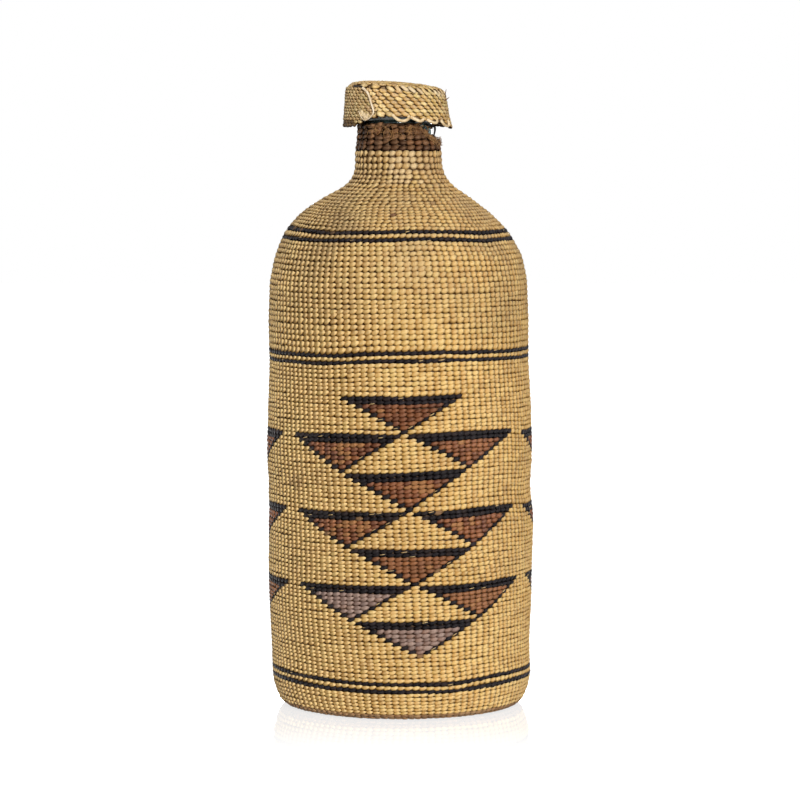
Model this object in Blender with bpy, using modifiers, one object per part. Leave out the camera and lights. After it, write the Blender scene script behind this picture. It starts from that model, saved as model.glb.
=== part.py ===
# Glass bottle in a twined basketry cover, with a plaited cap over its cork.
# Metres, +Z up. The origin is the centre of the base, and the front faces -Y.

from math import atan2, ceil, cos, floor, hypot, pi, radians, sin, tau

import bmesh
import bpy
from mathutils import Matrix

# Outside of the cover
BODY_RADIUS = 0.0530
FOOT_RADIUS = 0.0460
FOOT_HEIGHT = 0.0120
SHOULDER_HEIGHT = 0.1650
SHOULDER_RISE = 0.0500
NECK_LENGTH = 0.0165
NECK_RADIUS = 0.0174
NECK_TOP_RADIUS = 0.0165

# Wall outline: share of the way up from foot to shoulder, share of the body radius
WALL_SHARES = ((0.0, 0.979), (0.46, 1.0), (0.80, 0.986), (1.0, 0.974))
# Shoulder outline: share of the way up to the neck, share of the way in to it
SHOULDER_SHARES = (
    (0.17, 0.02), (0.34, 0.10), (0.50, 0.22), (0.63, 0.39),
    (0.76, 0.65), (0.83, 0.83), (0.90, 0.94), (1.0, 1.0),
)
FOOT_ARC_STEPS = 3

# Layers, from the outside in, and the gap that pieces keep where they touch
WEFT_THICKNESS = 0.0012
WARP_THICKNESS = 0.0014
FIT = 0.0003
OVERRUN = 0.0010
WELD = 0.000001
FLAT_ANGLE = radians(0.2)
TURN_STEPS = 24

# Courses: rows of twining, by the height of their outer edge
STITCHES = 114
START_RADIUS = 0.0080
TURN_WIDTH = 0.0022
TURN_HEIGHT = 0.0022
LOW_PAIR_HEIGHT = 0.0130
PAIR_COURSE_HEIGHT = 0.0015
NECK_COURSE_HEIGHT = 0.0021
NECK_COURSES = 6
BROWN_COURSES = 5
COURSE_GROOVE = 0.0004
PAIR_GROOVE = 0.0003
# Shares of the way up from foot to shoulder, and from shoulder to neck
MIDDLE_PAIR_SHARE = 0.8464
HIGH_PAIR_SHARE = 0.464

# Figures: triangles of 9 courses, 17 stitches wide at the top and 1 at the apex
MOTIFS = 3
FIGURE_ROWS = 7
FIGURE_COURSES = 9
FIGURE_STITCHES = 17
BAR_COURSES = 2
PAIR_SPACING = 18
MOTIF_TURN = radians(1.1)
LEAN_SHARE = 0.044
# Shares of the way up from foot to shoulder
FIGURE_TOP_SHARE = 0.7477
FIGURE_FLOOR_SHARE = 0.0806
TAB_LAP_SHARE = 0.25
OPEN_END_SHARE = 1.0

# Course lines: the grooves between courses that show most, one at the edge of each row of figures
LINE_GROOVE = 0.0004
LINE_WIDTH = 0.0016
LINE_EDGE_SHARES = (-0.5, 0.0, 0.5)
UPPER_LINES = 2
SHOULDER_LINES = 2

# Where the neck's edge has worn away
WORN_TURN = radians(75)
WORN_RADIUS = 0.0120
WORN_DEPTH = 0.0080
WORN_STEPS = 20

# Bottle
GLASS_WALL = 0.0030
PUNT_HEIGHT = 0.0120
PUNT_RADIUS = 0.0300
BORE_RADIUS = 0.0094
LIP_RADIUS = 0.0154
LIP_HEIGHT = 0.0110
LIP_ROUND = 0.0015
LIP_SEAT = 0.0006
PUNT_SHARES = ((0.0, 1.0), (0.55, 0.80), (1.0, 0.0))

# Cork
CORK_LENGTH = 0.0250
CORK_STAND = 0.0025
CORK_END_RADIUS = 0.0084
CORK_CHAMFER = 0.0008

# Cap
CAP_RADIUS = 0.0200
CAP_HEM_RADIUS = 0.0212
CAP_WALL = 0.0014
CAP_BAND_HEIGHT = 0.0150
CAP_DOME = 0.0016
CAP_TOP_THICKNESS = 0.0013
CAP_RIM_THICKNESS = 0.0026
CAP_RIM_STEPS = 8
CAP_SHIFT = -0.0008
SCALLOP_DEPTH = 0.0008
SCALLOPS = 12
# Lid: share of the way out to its edge, share of the dome's height
LID_SHARES = ((0.0, 1.0), (0.6, 0.7), (1.0, 0.0))
# Hem: share of a turn from the front, share of the band's height by which it stands up
HEM_SHARES = (
    (-0.50, 0.06), (-0.27, 0.0), (-0.12, 0.30), (-0.02, 0.34),
    (0.08, 0.18), (0.25, 0.0), (0.50, 0.06),
)
BAND_STEPS = 36
TAIL_THICKNESS = 0.0011
# Tail: share of a turn from the front, share of the band's height above its hem
TAIL_SHARES = (
    (-0.33, 0.03), (-0.14, 0.0), (-0.098, 0.16), (-0.077, 0.38),
    (-0.095, 0.80), (-0.11, 1.0), (-0.33, 1.0),
)

# Depths below the outside of the cover
WARP_DEPTH = WEFT_THICKNESS + FIT
GLASS_DEPTH = WARP_DEPTH + WARP_THICKNESS + FIT

# Heights that follow from the sizes above
WALL_HEIGHT = SHOULDER_HEIGHT - FOOT_HEIGHT
NECK_HEIGHT = SHOULDER_HEIGHT + SHOULDER_RISE
COVER_HEIGHT = NECK_HEIGHT + NECK_LENGTH
MIDDLE_PAIR_HEIGHT = FOOT_HEIGHT + MIDDLE_PAIR_SHARE * WALL_HEIGHT
HIGH_PAIR_HEIGHT = SHOULDER_HEIGHT + HIGH_PAIR_SHARE * SHOULDER_RISE
BROWN_COURSES_HEIGHT = COVER_HEIGHT - BROWN_COURSES * NECK_COURSE_HEIGHT
NECK_COURSES_HEIGHT = BROWN_COURSES_HEIGHT - NECK_COURSES * NECK_COURSE_HEIGHT
FIGURE_TOP = FOOT_HEIGHT + FIGURE_TOP_SHARE * WALL_HEIGHT
FIGURE_FLOOR = FOOT_HEIGHT + FIGURE_FLOOR_SHARE * WALL_HEIGHT
COURSE_HEIGHT = (FIGURE_TOP - FIGURE_FLOOR) / (FIGURE_ROWS * FIGURE_COURSES)
LIP_BASE = COVER_HEIGHT + LIP_SEAT
CORK_TOP = LIP_BASE + LIP_HEIGHT + CORK_STAND
CAP_FLOOR = CORK_TOP + FIT
BAND_TOP = CORK_TOP
BAND_HEM = BAND_TOP - CAP_BAND_HEIGHT
STITCH_WIDTH = tau * BODY_RADIUS / STITCHES

COLOURS = {
    "green_glass": ((0.020, 0.045, 0.038), 0.08),
    "cork": ((0.42, 0.27, 0.15), 0.85),
    "root": ((0.17, 0.095, 0.045), 0.75),
    "straw": ((0.66, 0.45, 0.21), 0.42),
    "black_stem": ((0.022, 0.018, 0.018), 0.35),
    "brown_stem": ((0.20, 0.072, 0.032), 0.50),
    "faded_stem": ((0.17, 0.105, 0.085), 0.60),
    "neck_root": ((0.085, 0.042, 0.022), 0.65),
    "cap_straw": ((0.70, 0.52, 0.30), 0.48),
}


def clear_scene():
    for item in list(bpy.data.objects):
        bpy.data.objects.remove(item)


def make_collection(name):
    collection = bpy.data.collections.new(name)
    bpy.context.scene.collection.children.link(collection)
    return collection


def make_material(name):
    colour, roughness = COLOURS[name]
    material = bpy.data.materials.new(name)
    material.use_nodes = True
    shader = material.node_tree.nodes["Principled BSDF"]
    shader.inputs["Base Color"].default_value = (*colour, 1.0)
    shader.inputs["Roughness"].default_value = roughness
    shader.inputs["Metallic"].default_value = 0.0
    if name == "green_glass":
        shader.inputs["Transmission Weight"].default_value = 0.6
    return material


def evaluated_mesh(piece):
    bpy.context.view_layer.update()
    graph = bpy.context.evaluated_depsgraph_get()
    return bpy.data.meshes.new_from_object(piece.evaluated_get(graph))


def add_piece(name, mesh, material, collection):
    piece = bpy.data.objects.new(name, mesh)
    if material is not None:
        mesh.materials.clear()
        mesh.materials.append(material)
        mesh.shade_smooth()
        mesh.set_sharp_from_angle(angle=radians(35))
    else:
        piece.hide_render = True
        piece.display_type = "WIRE"
    collection.objects.link(piece)
    return piece


# Outline of the cover: stations that every layer shares, so that their facets run parallel

def cover_stations():
    wall_start = WALL_SHARES[0][1] * BODY_RADIUS
    points = [(0.0, 0.0)]
    for step in range(FOOT_ARC_STEPS):
        turn = 0.5 * pi * step / FOOT_ARC_STEPS
        points.append((FOOT_RADIUS + (wall_start - FOOT_RADIUS) * sin(turn), FOOT_HEIGHT * (1 - cos(turn))))
    for up, out in WALL_SHARES:
        points.append((out * BODY_RADIUS, FOOT_HEIGHT + up * WALL_HEIGHT))
    wall_end = WALL_SHARES[-1][1] * BODY_RADIUS
    for up, inward in SHOULDER_SHARES:
        height = SHOULDER_HEIGHT + up * SHOULDER_RISE
        points.append((wall_end + inward * (NECK_RADIUS - wall_end), height))
    points.append((NECK_TOP_RADIUS, COVER_HEIGHT))
    return points


STATIONS = cover_stations()


def side_length(index):
    start, end = STATIONS[index], STATIONS[index + 1]
    return hypot(end[0] - start[0], end[1] - start[1])


def side_normal(index):
    start, end = STATIONS[index], STATIONS[index + 1]
    length = side_length(index)
    return (end[1] - start[1]) / length, (start[0] - end[0]) / length


def station_at_depth(index, depth):
    radius, height = STATIONS[index]
    below = side_normal(index - 1) if index > 0 else (0.0, -1.0)
    above = side_normal(index) if index < len(STATIONS) - 1 else (1.0, 0.0)
    if index == len(STATIONS) - 1:
        below = (1.0, 0.0)
    spread = 1 + below[0] * above[0] + below[1] * above[1]
    return (
        radius - depth * (below[0] + above[0]) / spread,
        height - depth * (below[1] + above[1]) / spread,
    )


def cover_point(place, depth):
    # place counts stations, with the part between two of them as a fraction
    index = min(int(floor(place)), len(STATIONS) - 2)
    part = place - index
    start, end = station_at_depth(index, depth), station_at_depth(index + 1, depth)
    return start[0] + part * (end[0] - start[0]), start[1] + part * (end[1] - start[1])


def place_at_height(height):
    for index in range(1, len(STATIONS) - 1):
        low, high = STATIONS[index][1], STATIONS[index + 1][1]
        if height <= high:
            return index + (height - low) / (high - low)
    return len(STATIONS) - 1


def place_at_base(radius):
    return radius / FOOT_RADIUS


def moved_place(place, distance):
    index = min(int(floor(place)), len(STATIONS) - 2)
    return place + distance / side_length(index)


def distance_at(place):
    # Along the outline, from the middle of the base
    index = min(int(floor(place)), len(STATIONS) - 2)
    return sum(side_length(below) for below in range(index)) + (place - index) * side_length(index)


def place_at_distance(distance):
    for index in range(len(STATIONS) - 1):
        if distance <= side_length(index):
            return index + distance / side_length(index)
        distance -= side_length(index)
    return len(STATIONS) - 1


def places_between(start, end):
    inner = [index for index in range(ceil(start), floor(end) + 1) if start < index < end]
    return [start, *inner, end]


def cover_path(start, end, depth):
    return [cover_point(place, depth) for place in places_between(start, end)]


def turned(name, profile, material, collection, closed=False, steps=TURN_STEPS):
    # The profile runs up the inside and down the outside
    shape = bmesh.new()
    points = [shape.verts.new((radius, 0.0, height)) for radius, height in profile]
    for first, second in zip(points, points[1:]):
        shape.edges.new((first, second))
    if closed:
        shape.edges.new((points[-1], points[0]))
    mesh = bpy.data.meshes.new(name)
    shape.to_mesh(mesh)
    shape.free()
    piece = add_piece(name, mesh, material, collection)
    screw = piece.modifiers.new("turn", "SCREW")
    screw.steps = steps
    screw.render_steps = steps
    screw.use_merge_vertices = True
    screw.merge_threshold = WELD
    screw.use_smooth_shade = True
    return piece


def cover_band(name, start, end, material, collection):
    start, end = moved_place(start, 0.5 * FIT), moved_place(end, -0.5 * FIT)
    inside = cover_path(start, end, WEFT_THICKNESS)
    outside = cover_path(start, end, 0.0)
    return turned(name, inside + outside[::-1], material, collection, closed=True)


def spaced_lines(start, end, count):
    low, high = distance_at(start), distance_at(end)
    return [place_at_distance(low + (high - low) * (line + 1) / (count + 1)) for line in range(count)]


def line_places(line):
    # The bottom of a line's groove and its two edges
    return [place_at_distance(distance_at(line) + share * LINE_WIDTH) for share in LINE_EDGE_SHARES]


def line_depth(place, lines):
    nearest = min(abs(distance_at(place) - distance_at(line)) for line in lines)
    return LINE_GROOVE * max(1 - nearest / (0.5 * LINE_WIDTH), 0.0)


def lined_band(name, start, end, lines, material, collection):
    # A plain band with a groove at each course line
    start, end = moved_place(start, 0.5 * FIT), moved_place(end, -0.5 * FIT)
    inside = cover_path(start, end, WEFT_THICKNESS)
    places = places_between(start, end)
    for line in lines:
        places += line_places(line)
    outside = [cover_point(place, line_depth(place, lines)) for place in sorted(places, reverse=True)]
    return turned(name, inside + outside, material, collection, closed=True)


def ribbed_band(name, start, end, courses, groove, material, collection):
    # Each course is a rib, with a groove between it and the next
    start, end = moved_place(start, 0.5 * FIT), moved_place(end, -0.5 * FIT)
    inside = cover_path(start, end, WEFT_THICKNESS)
    outside = [cover_point(end, groove)]
    for course in range(courses):
        crest = end - (course + 0.5) * (end - start) / courses
        valley = end - (course + 1) * (end - start) / courses
        outside += [cover_point(crest, 0.0), cover_point(valley, groove)]
    return turned(name, inside + outside, material, collection, closed=True)


def cut(piece, cutter):
    boolean = piece.modifiers.new("cut", "BOOLEAN")
    boolean.operation = "DIFFERENCE"
    boolean.object = cutter


# Flat plates that are wrapped round a surface: x runs round it, y up it and z out of it

def flat_plate(outlines, outer, inner, collection):
    curve = bpy.data.curves.new("plate", "CURVE")
    curve.dimensions = "2D"
    curve.fill_mode = "BOTH"
    curve.extrude = 0.5 * (outer - inner)
    for outline in outlines:
        spline = curve.splines.new("POLY")
        spline.points.add(len(outline) - 1)
        spline.use_cyclic_u = True
        for point, (across, up) in zip(spline.points, outline):
            point.co = (across, up, 0.0, 1.0)
    draft = bpy.data.objects.new("plate", curve)
    collection.objects.link(draft)
    mesh = evaluated_mesh(draft)
    bpy.data.objects.remove(draft)
    shape = bmesh.new()
    shape.from_mesh(mesh)
    bmesh.ops.remove_doubles(shape, verts=shape.verts, dist=WELD)
    bmesh.ops.translate(shape, verts=shape.verts, vec=(0.0, 0.0, 0.5 * (outer + inner)))
    shape.to_mesh(mesh)
    shape.free()
    return mesh


def united(meshes, collection):
    group = bpy.data.collections.new("plates")
    collection.children.link(group)
    base = add_piece("plate", meshes[0], None, collection)
    others = [add_piece("plate", mesh, None, group) for mesh in meshes[1:]]
    union = base.modifiers.new("join", "BOOLEAN")
    union.operation = "UNION"
    union.operand_type = "COLLECTION"
    union.collection = group
    mesh = evaluated_mesh(base)
    for item in [base, *others]:
        bpy.data.objects.remove(item)
    bpy.data.collections.remove(group)
    return mesh


def grown(outline, distance):
    # Moves each side of a convex outline outwards and finds the new corners
    middle = [sum(point[axis] for point in outline) / len(outline) for axis in (0, 1)]
    sides = []
    for start, end in zip(outline, outline[1:] + outline[:1]):
        across, up = end[0] - start[0], end[1] - start[1]
        length = hypot(across, up)
        normal = (up / length, -across / length)
        reach = normal[0] * (start[0] - middle[0]) + normal[1] * (start[1] - middle[1])
        if reach < 0:
            normal = (-normal[0], -normal[1])
        sides.append((normal, normal[0] * start[0] + normal[1] * start[1] + distance))
    corners = []
    for (one, first), (two, second) in zip(sides[-1:] + sides[:-1], sides):
        size = one[0] * two[1] - one[1] * two[0]
        corners.append(((first * two[1] - second * one[1]) / size, (second * one[0] - first * two[0]) / size))
    return corners


def wrap(mesh, radius, surface, levels=()):
    # Cuts the plate where the facets meet, then bends it on to them
    shape = bmesh.new()
    shape.from_mesh(mesh)
    facet = tau / TURN_STEPS
    steps = range(-TURN_STEPS, TURN_STEPS + 1)
    planes = [((step * facet * radius, 0.0, 0.0), (1.0, 0.0, 0.0)) for step in steps]
    planes += [((0.0, level, 0.0), (0.0, 1.0, 0.0)) for level in levels]
    for point, normal in planes:
        geometry = shape.verts[:] + shape.edges[:] + shape.faces[:]
        bmesh.ops.bisect_plane(shape, geom=geometry, dist=WELD, plane_co=point, plane_no=normal)
    for vertex in shape.verts:
        turn = vertex.co.x / radius
        offset = turn - (floor(turn / facet) + 0.5) * facet
        chord = cos(0.5 * facet) / cos(offset)
        reach, height = surface(vertex.co.y, vertex.co.z)
        vertex.co = (reach * chord * sin(turn), -reach * chord * cos(turn), height)
    bmesh.ops.remove_doubles(shape, verts=shape.verts, dist=WELD)
    bmesh.ops.dissolve_limit(shape, angle_limit=FLAT_ANGLE, verts=shape.verts, edges=shape.edges)
    shape.to_mesh(mesh)
    shape.free()
    return mesh


# Figures, drawn in stitches across and courses down from the top of the motif

def figure_lines():
    # At the upper edge of each row, and below the last
    rows = range(FIGURE_ROWS + 1)
    return [place_at_height(FIGURE_TOP - row * FIGURE_COURSES * COURSE_HEIGHT) for row in rows]


def wall_surface(height, outward):
    return cover_point(place_at_height(height), -outward)

def figure_places():
    # Rows of one triangle take turns with rows of two
    for row in range(FIGURE_ROWS):
        sides = (0,) if row % 2 == 0 else (-0.5 * PAIR_SPACING, 0.5 * PAIR_SPACING)
        for side in sides:
            yield row, side


def drawn(outline):
    # A course leans a little further round than the one above it
    return [
        ((across + LEAN_SHARE * down) * STITCH_WIDTH, FIGURE_TOP - down * COURSE_HEIGHT)
        for across, down in outline
    ]


def triangle_outline(row, side):
    top = row * FIGURE_COURSES
    half = 0.5 * FIGURE_STITCHES
    low = top + FIGURE_COURSES
    # A single bar stops short at one end, so that the straw round the motif stays in one piece
    short = OPEN_END_SHARE if side == 0 and row > 0 else 0
    return drawn([
        (side - half, top), (side + half - short, top), (side + half - short, top + 1 + short),
        (side + 0.5, low), (side - 0.5, low), (side - half, top + 1),
    ])


def window_outline(row, side):
    top = row * FIGURE_COURSES + BAR_COURSES
    low = (row + 1) * FIGURE_COURSES - 1
    half = 0.5 + low - top
    return drawn([(side - half, top), (side + half, top), (side + 0.5, low), (side - 0.5, low)])


def tab_outline(row, side):
    # The apex reaches one course on, to the bar or bars below
    low = (row + 1) * FIGURE_COURSES
    lap = TAB_LAP_SHARE
    left, right = side - 0.5, side + 0.5
    outline = [(left, low - lap), (right, low - lap), (right + lap, low + lap), (right + lap, low + 1)]
    if side == 0:
        outline += [(left - lap, low + 1), (left - lap, low + lap)]
    else:
        outline.append((left, low + 1))
    return drawn(outline)


def tab_places():
    for row, side in figure_places():
        if row < FIGURE_ROWS - 1 and side <= 0:
            yield row, side


def motif_levels():
    return [height for _, height in STATIONS if FIGURE_FLOOR < height]


def build_motif(cutters):
    plates = []
    for row, side in figure_places():
        outlines = [triangle_outline(row, side), window_outline(row, side)]
        plates.append(flat_plate(outlines, 0.0, -WEFT_THICKNESS, cutters))
    for row, side in tab_places():
        plates.append(flat_plate([tab_outline(row, side)], 0.0, -WEFT_THICKNESS, cutters))
    return wrap(united(plates, cutters), BODY_RADIUS, wall_surface, motif_levels())


def build_motif_cutter(cutters):
    plates = []
    inner = -WEFT_THICKNESS - OVERRUN
    for row, side in figure_places():
        plates.append(flat_plate([grown(triangle_outline(row, side), FIT)], OVERRUN, inner, cutters))
    for row, side in tab_places():
        plates.append(flat_plate([grown(tab_outline(row, side), FIT)], OVERRUN, inner, cutters))
    return wrap(united(plates, cutters), BODY_RADIUS, wall_surface, motif_levels())


def build_fill(row, side, cutters):
    outline = grown(window_outline(row, side), -FIT)
    plate = flat_plate([outline], 0.0, -WEFT_THICKNESS, cutters)
    return wrap(plate, BODY_RADIUS, wall_surface, motif_levels())


def add_figures(wall, materials, parts, cutters):
    figure = build_motif(cutters)
    pocket = build_motif_cutter(cutters)
    fills = [build_fill(row, side, cutters) for row, side in figure_places()]
    for motif in range(MOTIFS):
        turn = MOTIF_TURN + tau * motif / MOTIFS
        black = add_piece(f"black_figure_{motif + 1}", figure.copy(), materials["black_stem"], parts)
        black.rotation_euler.z = turn
        cutter = add_piece(f"figure_pocket_{motif + 1}", pocket.copy(), None, cutters)
        cutter.rotation_euler.z = turn
        cut(wall, cutter)
        for number, (place, mesh) in enumerate(zip(figure_places(), fills), start=1):
            faded = place[0] == FIGURE_ROWS - 1 or (place[0] == FIGURE_ROWS - 2 and place[1] < 0)
            dye = materials["faded_stem" if faded else "brown_stem"]
            fill = add_piece(f"brown_fill_{motif + 1}_{number:02d}", mesh.copy(), dye, parts)
            fill.rotation_euler.z = turn


# Bottle and cork

def add_bottle(materials, parts):
    neck_end = len(STATIONS) - 1
    foot_end = FOOT_ARC_STEPS + 1
    floor_height = GLASS_DEPTH + GLASS_WALL
    inside = [(PUNT_RADIUS * out, floor_height + PUNT_HEIGHT * up) for out, up in PUNT_SHARES]
    inside.append((FOOT_RADIUS - GLASS_DEPTH, floor_height))
    for radius, height in cover_path(foot_end, neck_end, GLASS_DEPTH + GLASS_WALL):
        inside.append((max(radius, BORE_RADIUS), height))
    lip_top = LIP_BASE + LIP_HEIGHT
    lip = [
        (BORE_RADIUS, lip_top - LIP_ROUND),
        (BORE_RADIUS + LIP_ROUND, lip_top),
        (LIP_RADIUS - LIP_ROUND, lip_top),
        (LIP_RADIUS, lip_top - LIP_ROUND),
        (LIP_RADIUS, LIP_BASE + LIP_ROUND),
        (LIP_RADIUS - LIP_ROUND, LIP_BASE),
    ]
    neck = (cover_point(neck_end, GLASS_DEPTH)[0], LIP_BASE)
    outside = cover_path(1, neck_end, GLASS_DEPTH)[::-1]
    punt = [(PUNT_RADIUS * out, GLASS_DEPTH + PUNT_HEIGHT * up) for out, up in PUNT_SHARES]
    profile = inside + lip + [neck] + outside + punt[::-1]
    return turned("glass_bottle", profile, materials["green_glass"], parts)


def add_cork(materials, parts):
    radius = BORE_RADIUS - FIT
    bottom = CORK_TOP - CORK_LENGTH
    profile = [
        (0.0, CORK_TOP), (radius - CORK_CHAMFER, CORK_TOP), (radius, CORK_TOP - CORK_CHAMFER),
        (radius, LIP_BASE + LIP_HEIGHT - LIP_ROUND),
        (CORK_END_RADIUS, bottom + CORK_CHAMFER), (CORK_END_RADIUS - CORK_CHAMFER, bottom), (0.0, bottom),
    ]
    return turned("cork_stopper", profile, materials["cork"], parts)


# Cover

def add_worn_cutter(cutters):
    shape = bmesh.new()
    length = NECK_RADIUS + OVERRUN
    bmesh.ops.create_cone(
        shape, cap_ends=True, segments=WORN_STEPS, radius1=WORN_RADIUS, radius2=WORN_RADIUS, depth=length
    )
    reach = 0.5 * length + NECK_TOP_RADIUS - GLASS_DEPTH
    bmesh.ops.translate(shape, verts=shape.verts, vec=(0.0, 0.0, reach))
    # The axis is laid flat, then turned to the worn side
    bmesh.ops.rotate(shape, verts=shape.verts, matrix=Matrix.Rotation(0.5 * pi, 3, "X"))
    bmesh.ops.rotate(shape, verts=shape.verts, matrix=Matrix.Rotation(WORN_TURN, 3, "Z"))
    height = COVER_HEIGHT - WORN_DEPTH + WORN_RADIUS
    bmesh.ops.translate(shape, verts=shape.verts, vec=(0.0, 0.0, height))
    mesh = bpy.data.meshes.new("worn_edge")
    shape.to_mesh(mesh)
    shape.free()
    return add_piece("worn_edge", mesh, None, cutters)


def add_warps(materials, parts):
    top = len(STATIONS) - 1
    inside = cover_path(0, top, WARP_DEPTH + WARP_THICKNESS)
    outside = cover_path(0, top, WARP_DEPTH)
    return turned("root_warps", inside + outside[::-1], materials["root"], parts)


def add_base(materials, parts):
    start = [(0.0, WEFT_THICKNESS), (START_RADIUS, WEFT_THICKNESS), (START_RADIUS, 0.0), (0.0, 0.0)]
    turned("base_start", start, materials["root"], parts)
    inner = place_at_base(START_RADIUS + 0.5 * FIT)
    turn_start = place_at_base(FOOT_RADIUS - TURN_WIDTH)
    turn_end = place_at_height(TURN_HEIGHT)
    cover_band("base_twining", inner, turn_start, materials["straw"], parts)
    cover_band("base_turn_course", turn_start, turn_end, materials["root"], parts)


def add_pair(name, height, materials, parts):
    # Two black courses with one straw course between them
    edges = [place_at_height(height + share * PAIR_COURSE_HEIGHT) for share in (-1.5, -0.5, 0.5, 1.5)]
    ribbed_band(f"{name}_black_course_1", edges[0], edges[1], 1, PAIR_GROOVE, materials["black_stem"], parts)
    cover_band(f"{name}_straw_course", edges[1], edges[2], materials["straw"], parts)
    ribbed_band(f"{name}_black_course_2", edges[2], edges[3], 1, PAIR_GROOVE, materials["black_stem"], parts)
    return edges[0], edges[3]


def add_cover(materials, parts, cutters):
    straw = materials["straw"]
    warps = add_warps(materials, parts)
    add_base(materials, parts)
    low = add_pair("low", LOW_PAIR_HEIGHT, materials, parts)
    middle = add_pair("middle", MIDDLE_PAIR_HEIGHT, materials, parts)
    high = add_pair("high", HIGH_PAIR_HEIGHT, materials, parts)
    neck = place_at_height(NECK_COURSES_HEIGHT)
    brown = place_at_height(BROWN_COURSES_HEIGHT)
    top = len(STATIONS) - 1
    cover_band("foot_twining", place_at_height(TURN_HEIGHT), low[0], straw, parts)
    wall = lined_band("figured_twining", low[1], middle[0], figure_lines(), straw, parts)
    upper_lines = spaced_lines(middle[1], high[0], UPPER_LINES)
    lined_band("upper_twining", middle[1], high[0], upper_lines, straw, parts)
    shoulder_lines = spaced_lines(high[1], neck, SHOULDER_LINES)
    lined_band("shoulder_twining", high[1], neck, shoulder_lines, straw, parts)
    ribbed_band("neck_straw_courses", neck, brown, NECK_COURSES, COURSE_GROOVE, straw, parts)
    root = materials["neck_root"]
    brown_neck = ribbed_band("neck_brown_courses", brown, top, BROWN_COURSES, COURSE_GROOVE, root, parts)
    worn = add_worn_cutter(cutters)
    cut(brown_neck, worn)
    cut(warps, worn)
    add_figures(wall, materials, parts, cutters)


# Cap

def share_at(table, place):
    for (start, low), (end, high) in zip(table, table[1:]):
        if place <= end:
            return low + (high - low) * (place - start) / (end - start)
    return table[-1][1]


def hem_height(turn):
    # The hem hangs in scallops, and stands up where the strip was folded back
    place = (turn / tau + 0.5) % 1.0 - 0.5
    rise = share_at(HEM_SHARES, place) * CAP_BAND_HEIGHT
    return BAND_HEM + rise + SCALLOP_DEPTH * abs(sin(0.5 * SCALLOPS * turn))


def band_radius(height):
    return CAP_RADIUS + (CAP_HEM_RADIUS - CAP_RADIUS) * (BAND_TOP - height) / CAP_BAND_HEIGHT


def add_cap_band(material, parts, cutters):
    middle = BAND_TOP - 0.5 * CAP_BAND_HEIGHT
    heights = (BAND_HEM, middle, BAND_TOP)
    inside = [(band_radius(height) - CAP_WALL, height) for height in heights]
    outside = [(band_radius(height), height) for height in reversed(heights)]
    draft = turned("band", inside + outside, None, cutters, closed=True, steps=BAND_STEPS)
    mesh = evaluated_mesh(draft)
    bpy.data.objects.remove(draft)
    for vertex in mesh.vertices:
        if vertex.co.z < middle - OVERRUN:
            distance = hypot(vertex.co.x, vertex.co.y)
            turn = atan2(vertex.co.x, -vertex.co.y)
            wall = band_radius(BAND_HEM) - distance
            height = hem_height(turn)
            reach = band_radius(height) - wall
            vertex.co = (reach * sin(turn), -reach * cos(turn), height)
    return add_piece("cap_band", mesh, material, parts)


def cap_surface(height, outward):
    return band_radius(height) + outward, height


def add_cap(materials, parts, cutters):
    straw = materials["cap_straw"]
    band = add_cap_band(straw, parts, cutters)

    rim_radius = 0.5 * CAP_RIM_THICKNESS
    rim_centre = (CAP_RADIUS - rim_radius, BAND_TOP + FIT + rim_radius)
    ring = []
    for step in range(CAP_RIM_STEPS):
        turn = -tau * step / CAP_RIM_STEPS
        ring.append((rim_centre[0] + rim_radius * cos(turn), rim_centre[1] + rim_radius * sin(turn)))
    rim = turned("cap_rim", ring, straw, parts, closed=True)

    edge = rim_centre[0] - rim_radius - FIT
    lid = [(out * edge, CAP_FLOOR + CAP_TOP_THICKNESS + up * CAP_DOME) for out, up in LID_SHARES]
    lid += [(edge, CAP_FLOOR), (0.0, CAP_FLOOR)]
    top = turned("cap_top", lid, straw, parts)

    outline = [
        (tau * CAP_RADIUS * across, BAND_HEM + up * CAP_BAND_HEIGHT) for across, up in TAIL_SHARES
    ]
    plate = flat_plate([outline], FIT + TAIL_THICKNESS, FIT, cutters)
    tail = add_piece("cap_tail", wrap(plate, CAP_RADIUS, cap_surface), straw, parts)

    axis = bpy.data.objects.new("cap_axis", None)
    axis.location = (CAP_SHIFT, 0.0, 0.0)
    parts.objects.link(axis)
    for piece in (band, rim, top, tail):
        piece.parent = axis


def main():
    clear_scene()
    parts = make_collection("bottle_basket")
    cutters = make_collection("cutters")
    materials = {name: make_material(name) for name in COLOURS}
    add_bottle(materials, parts)
    add_cork(materials, parts)
    add_cover(materials, parts, cutters)
    add_cap(materials, parts, cutters)


main()
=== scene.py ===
from math import atan2, cos, hypot, pi, radians, sin, tau

import bmesh
import bpy
import numpy as np
from mathutils import Matrix, Vector


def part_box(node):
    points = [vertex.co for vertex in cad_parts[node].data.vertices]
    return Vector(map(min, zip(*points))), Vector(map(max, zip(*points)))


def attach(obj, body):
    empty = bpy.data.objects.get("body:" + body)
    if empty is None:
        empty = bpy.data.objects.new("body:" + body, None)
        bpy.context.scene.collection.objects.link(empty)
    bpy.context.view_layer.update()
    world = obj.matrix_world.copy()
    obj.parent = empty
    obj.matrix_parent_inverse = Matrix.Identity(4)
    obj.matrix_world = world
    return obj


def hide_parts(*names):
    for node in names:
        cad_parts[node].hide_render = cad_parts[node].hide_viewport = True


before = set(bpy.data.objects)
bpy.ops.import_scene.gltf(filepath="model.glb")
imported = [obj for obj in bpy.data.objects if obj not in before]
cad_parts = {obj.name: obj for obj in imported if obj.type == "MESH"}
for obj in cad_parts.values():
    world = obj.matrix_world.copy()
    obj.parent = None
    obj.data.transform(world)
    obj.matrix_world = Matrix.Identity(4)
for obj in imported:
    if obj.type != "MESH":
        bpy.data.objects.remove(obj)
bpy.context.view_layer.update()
random = np.random.default_rng(38)
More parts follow.
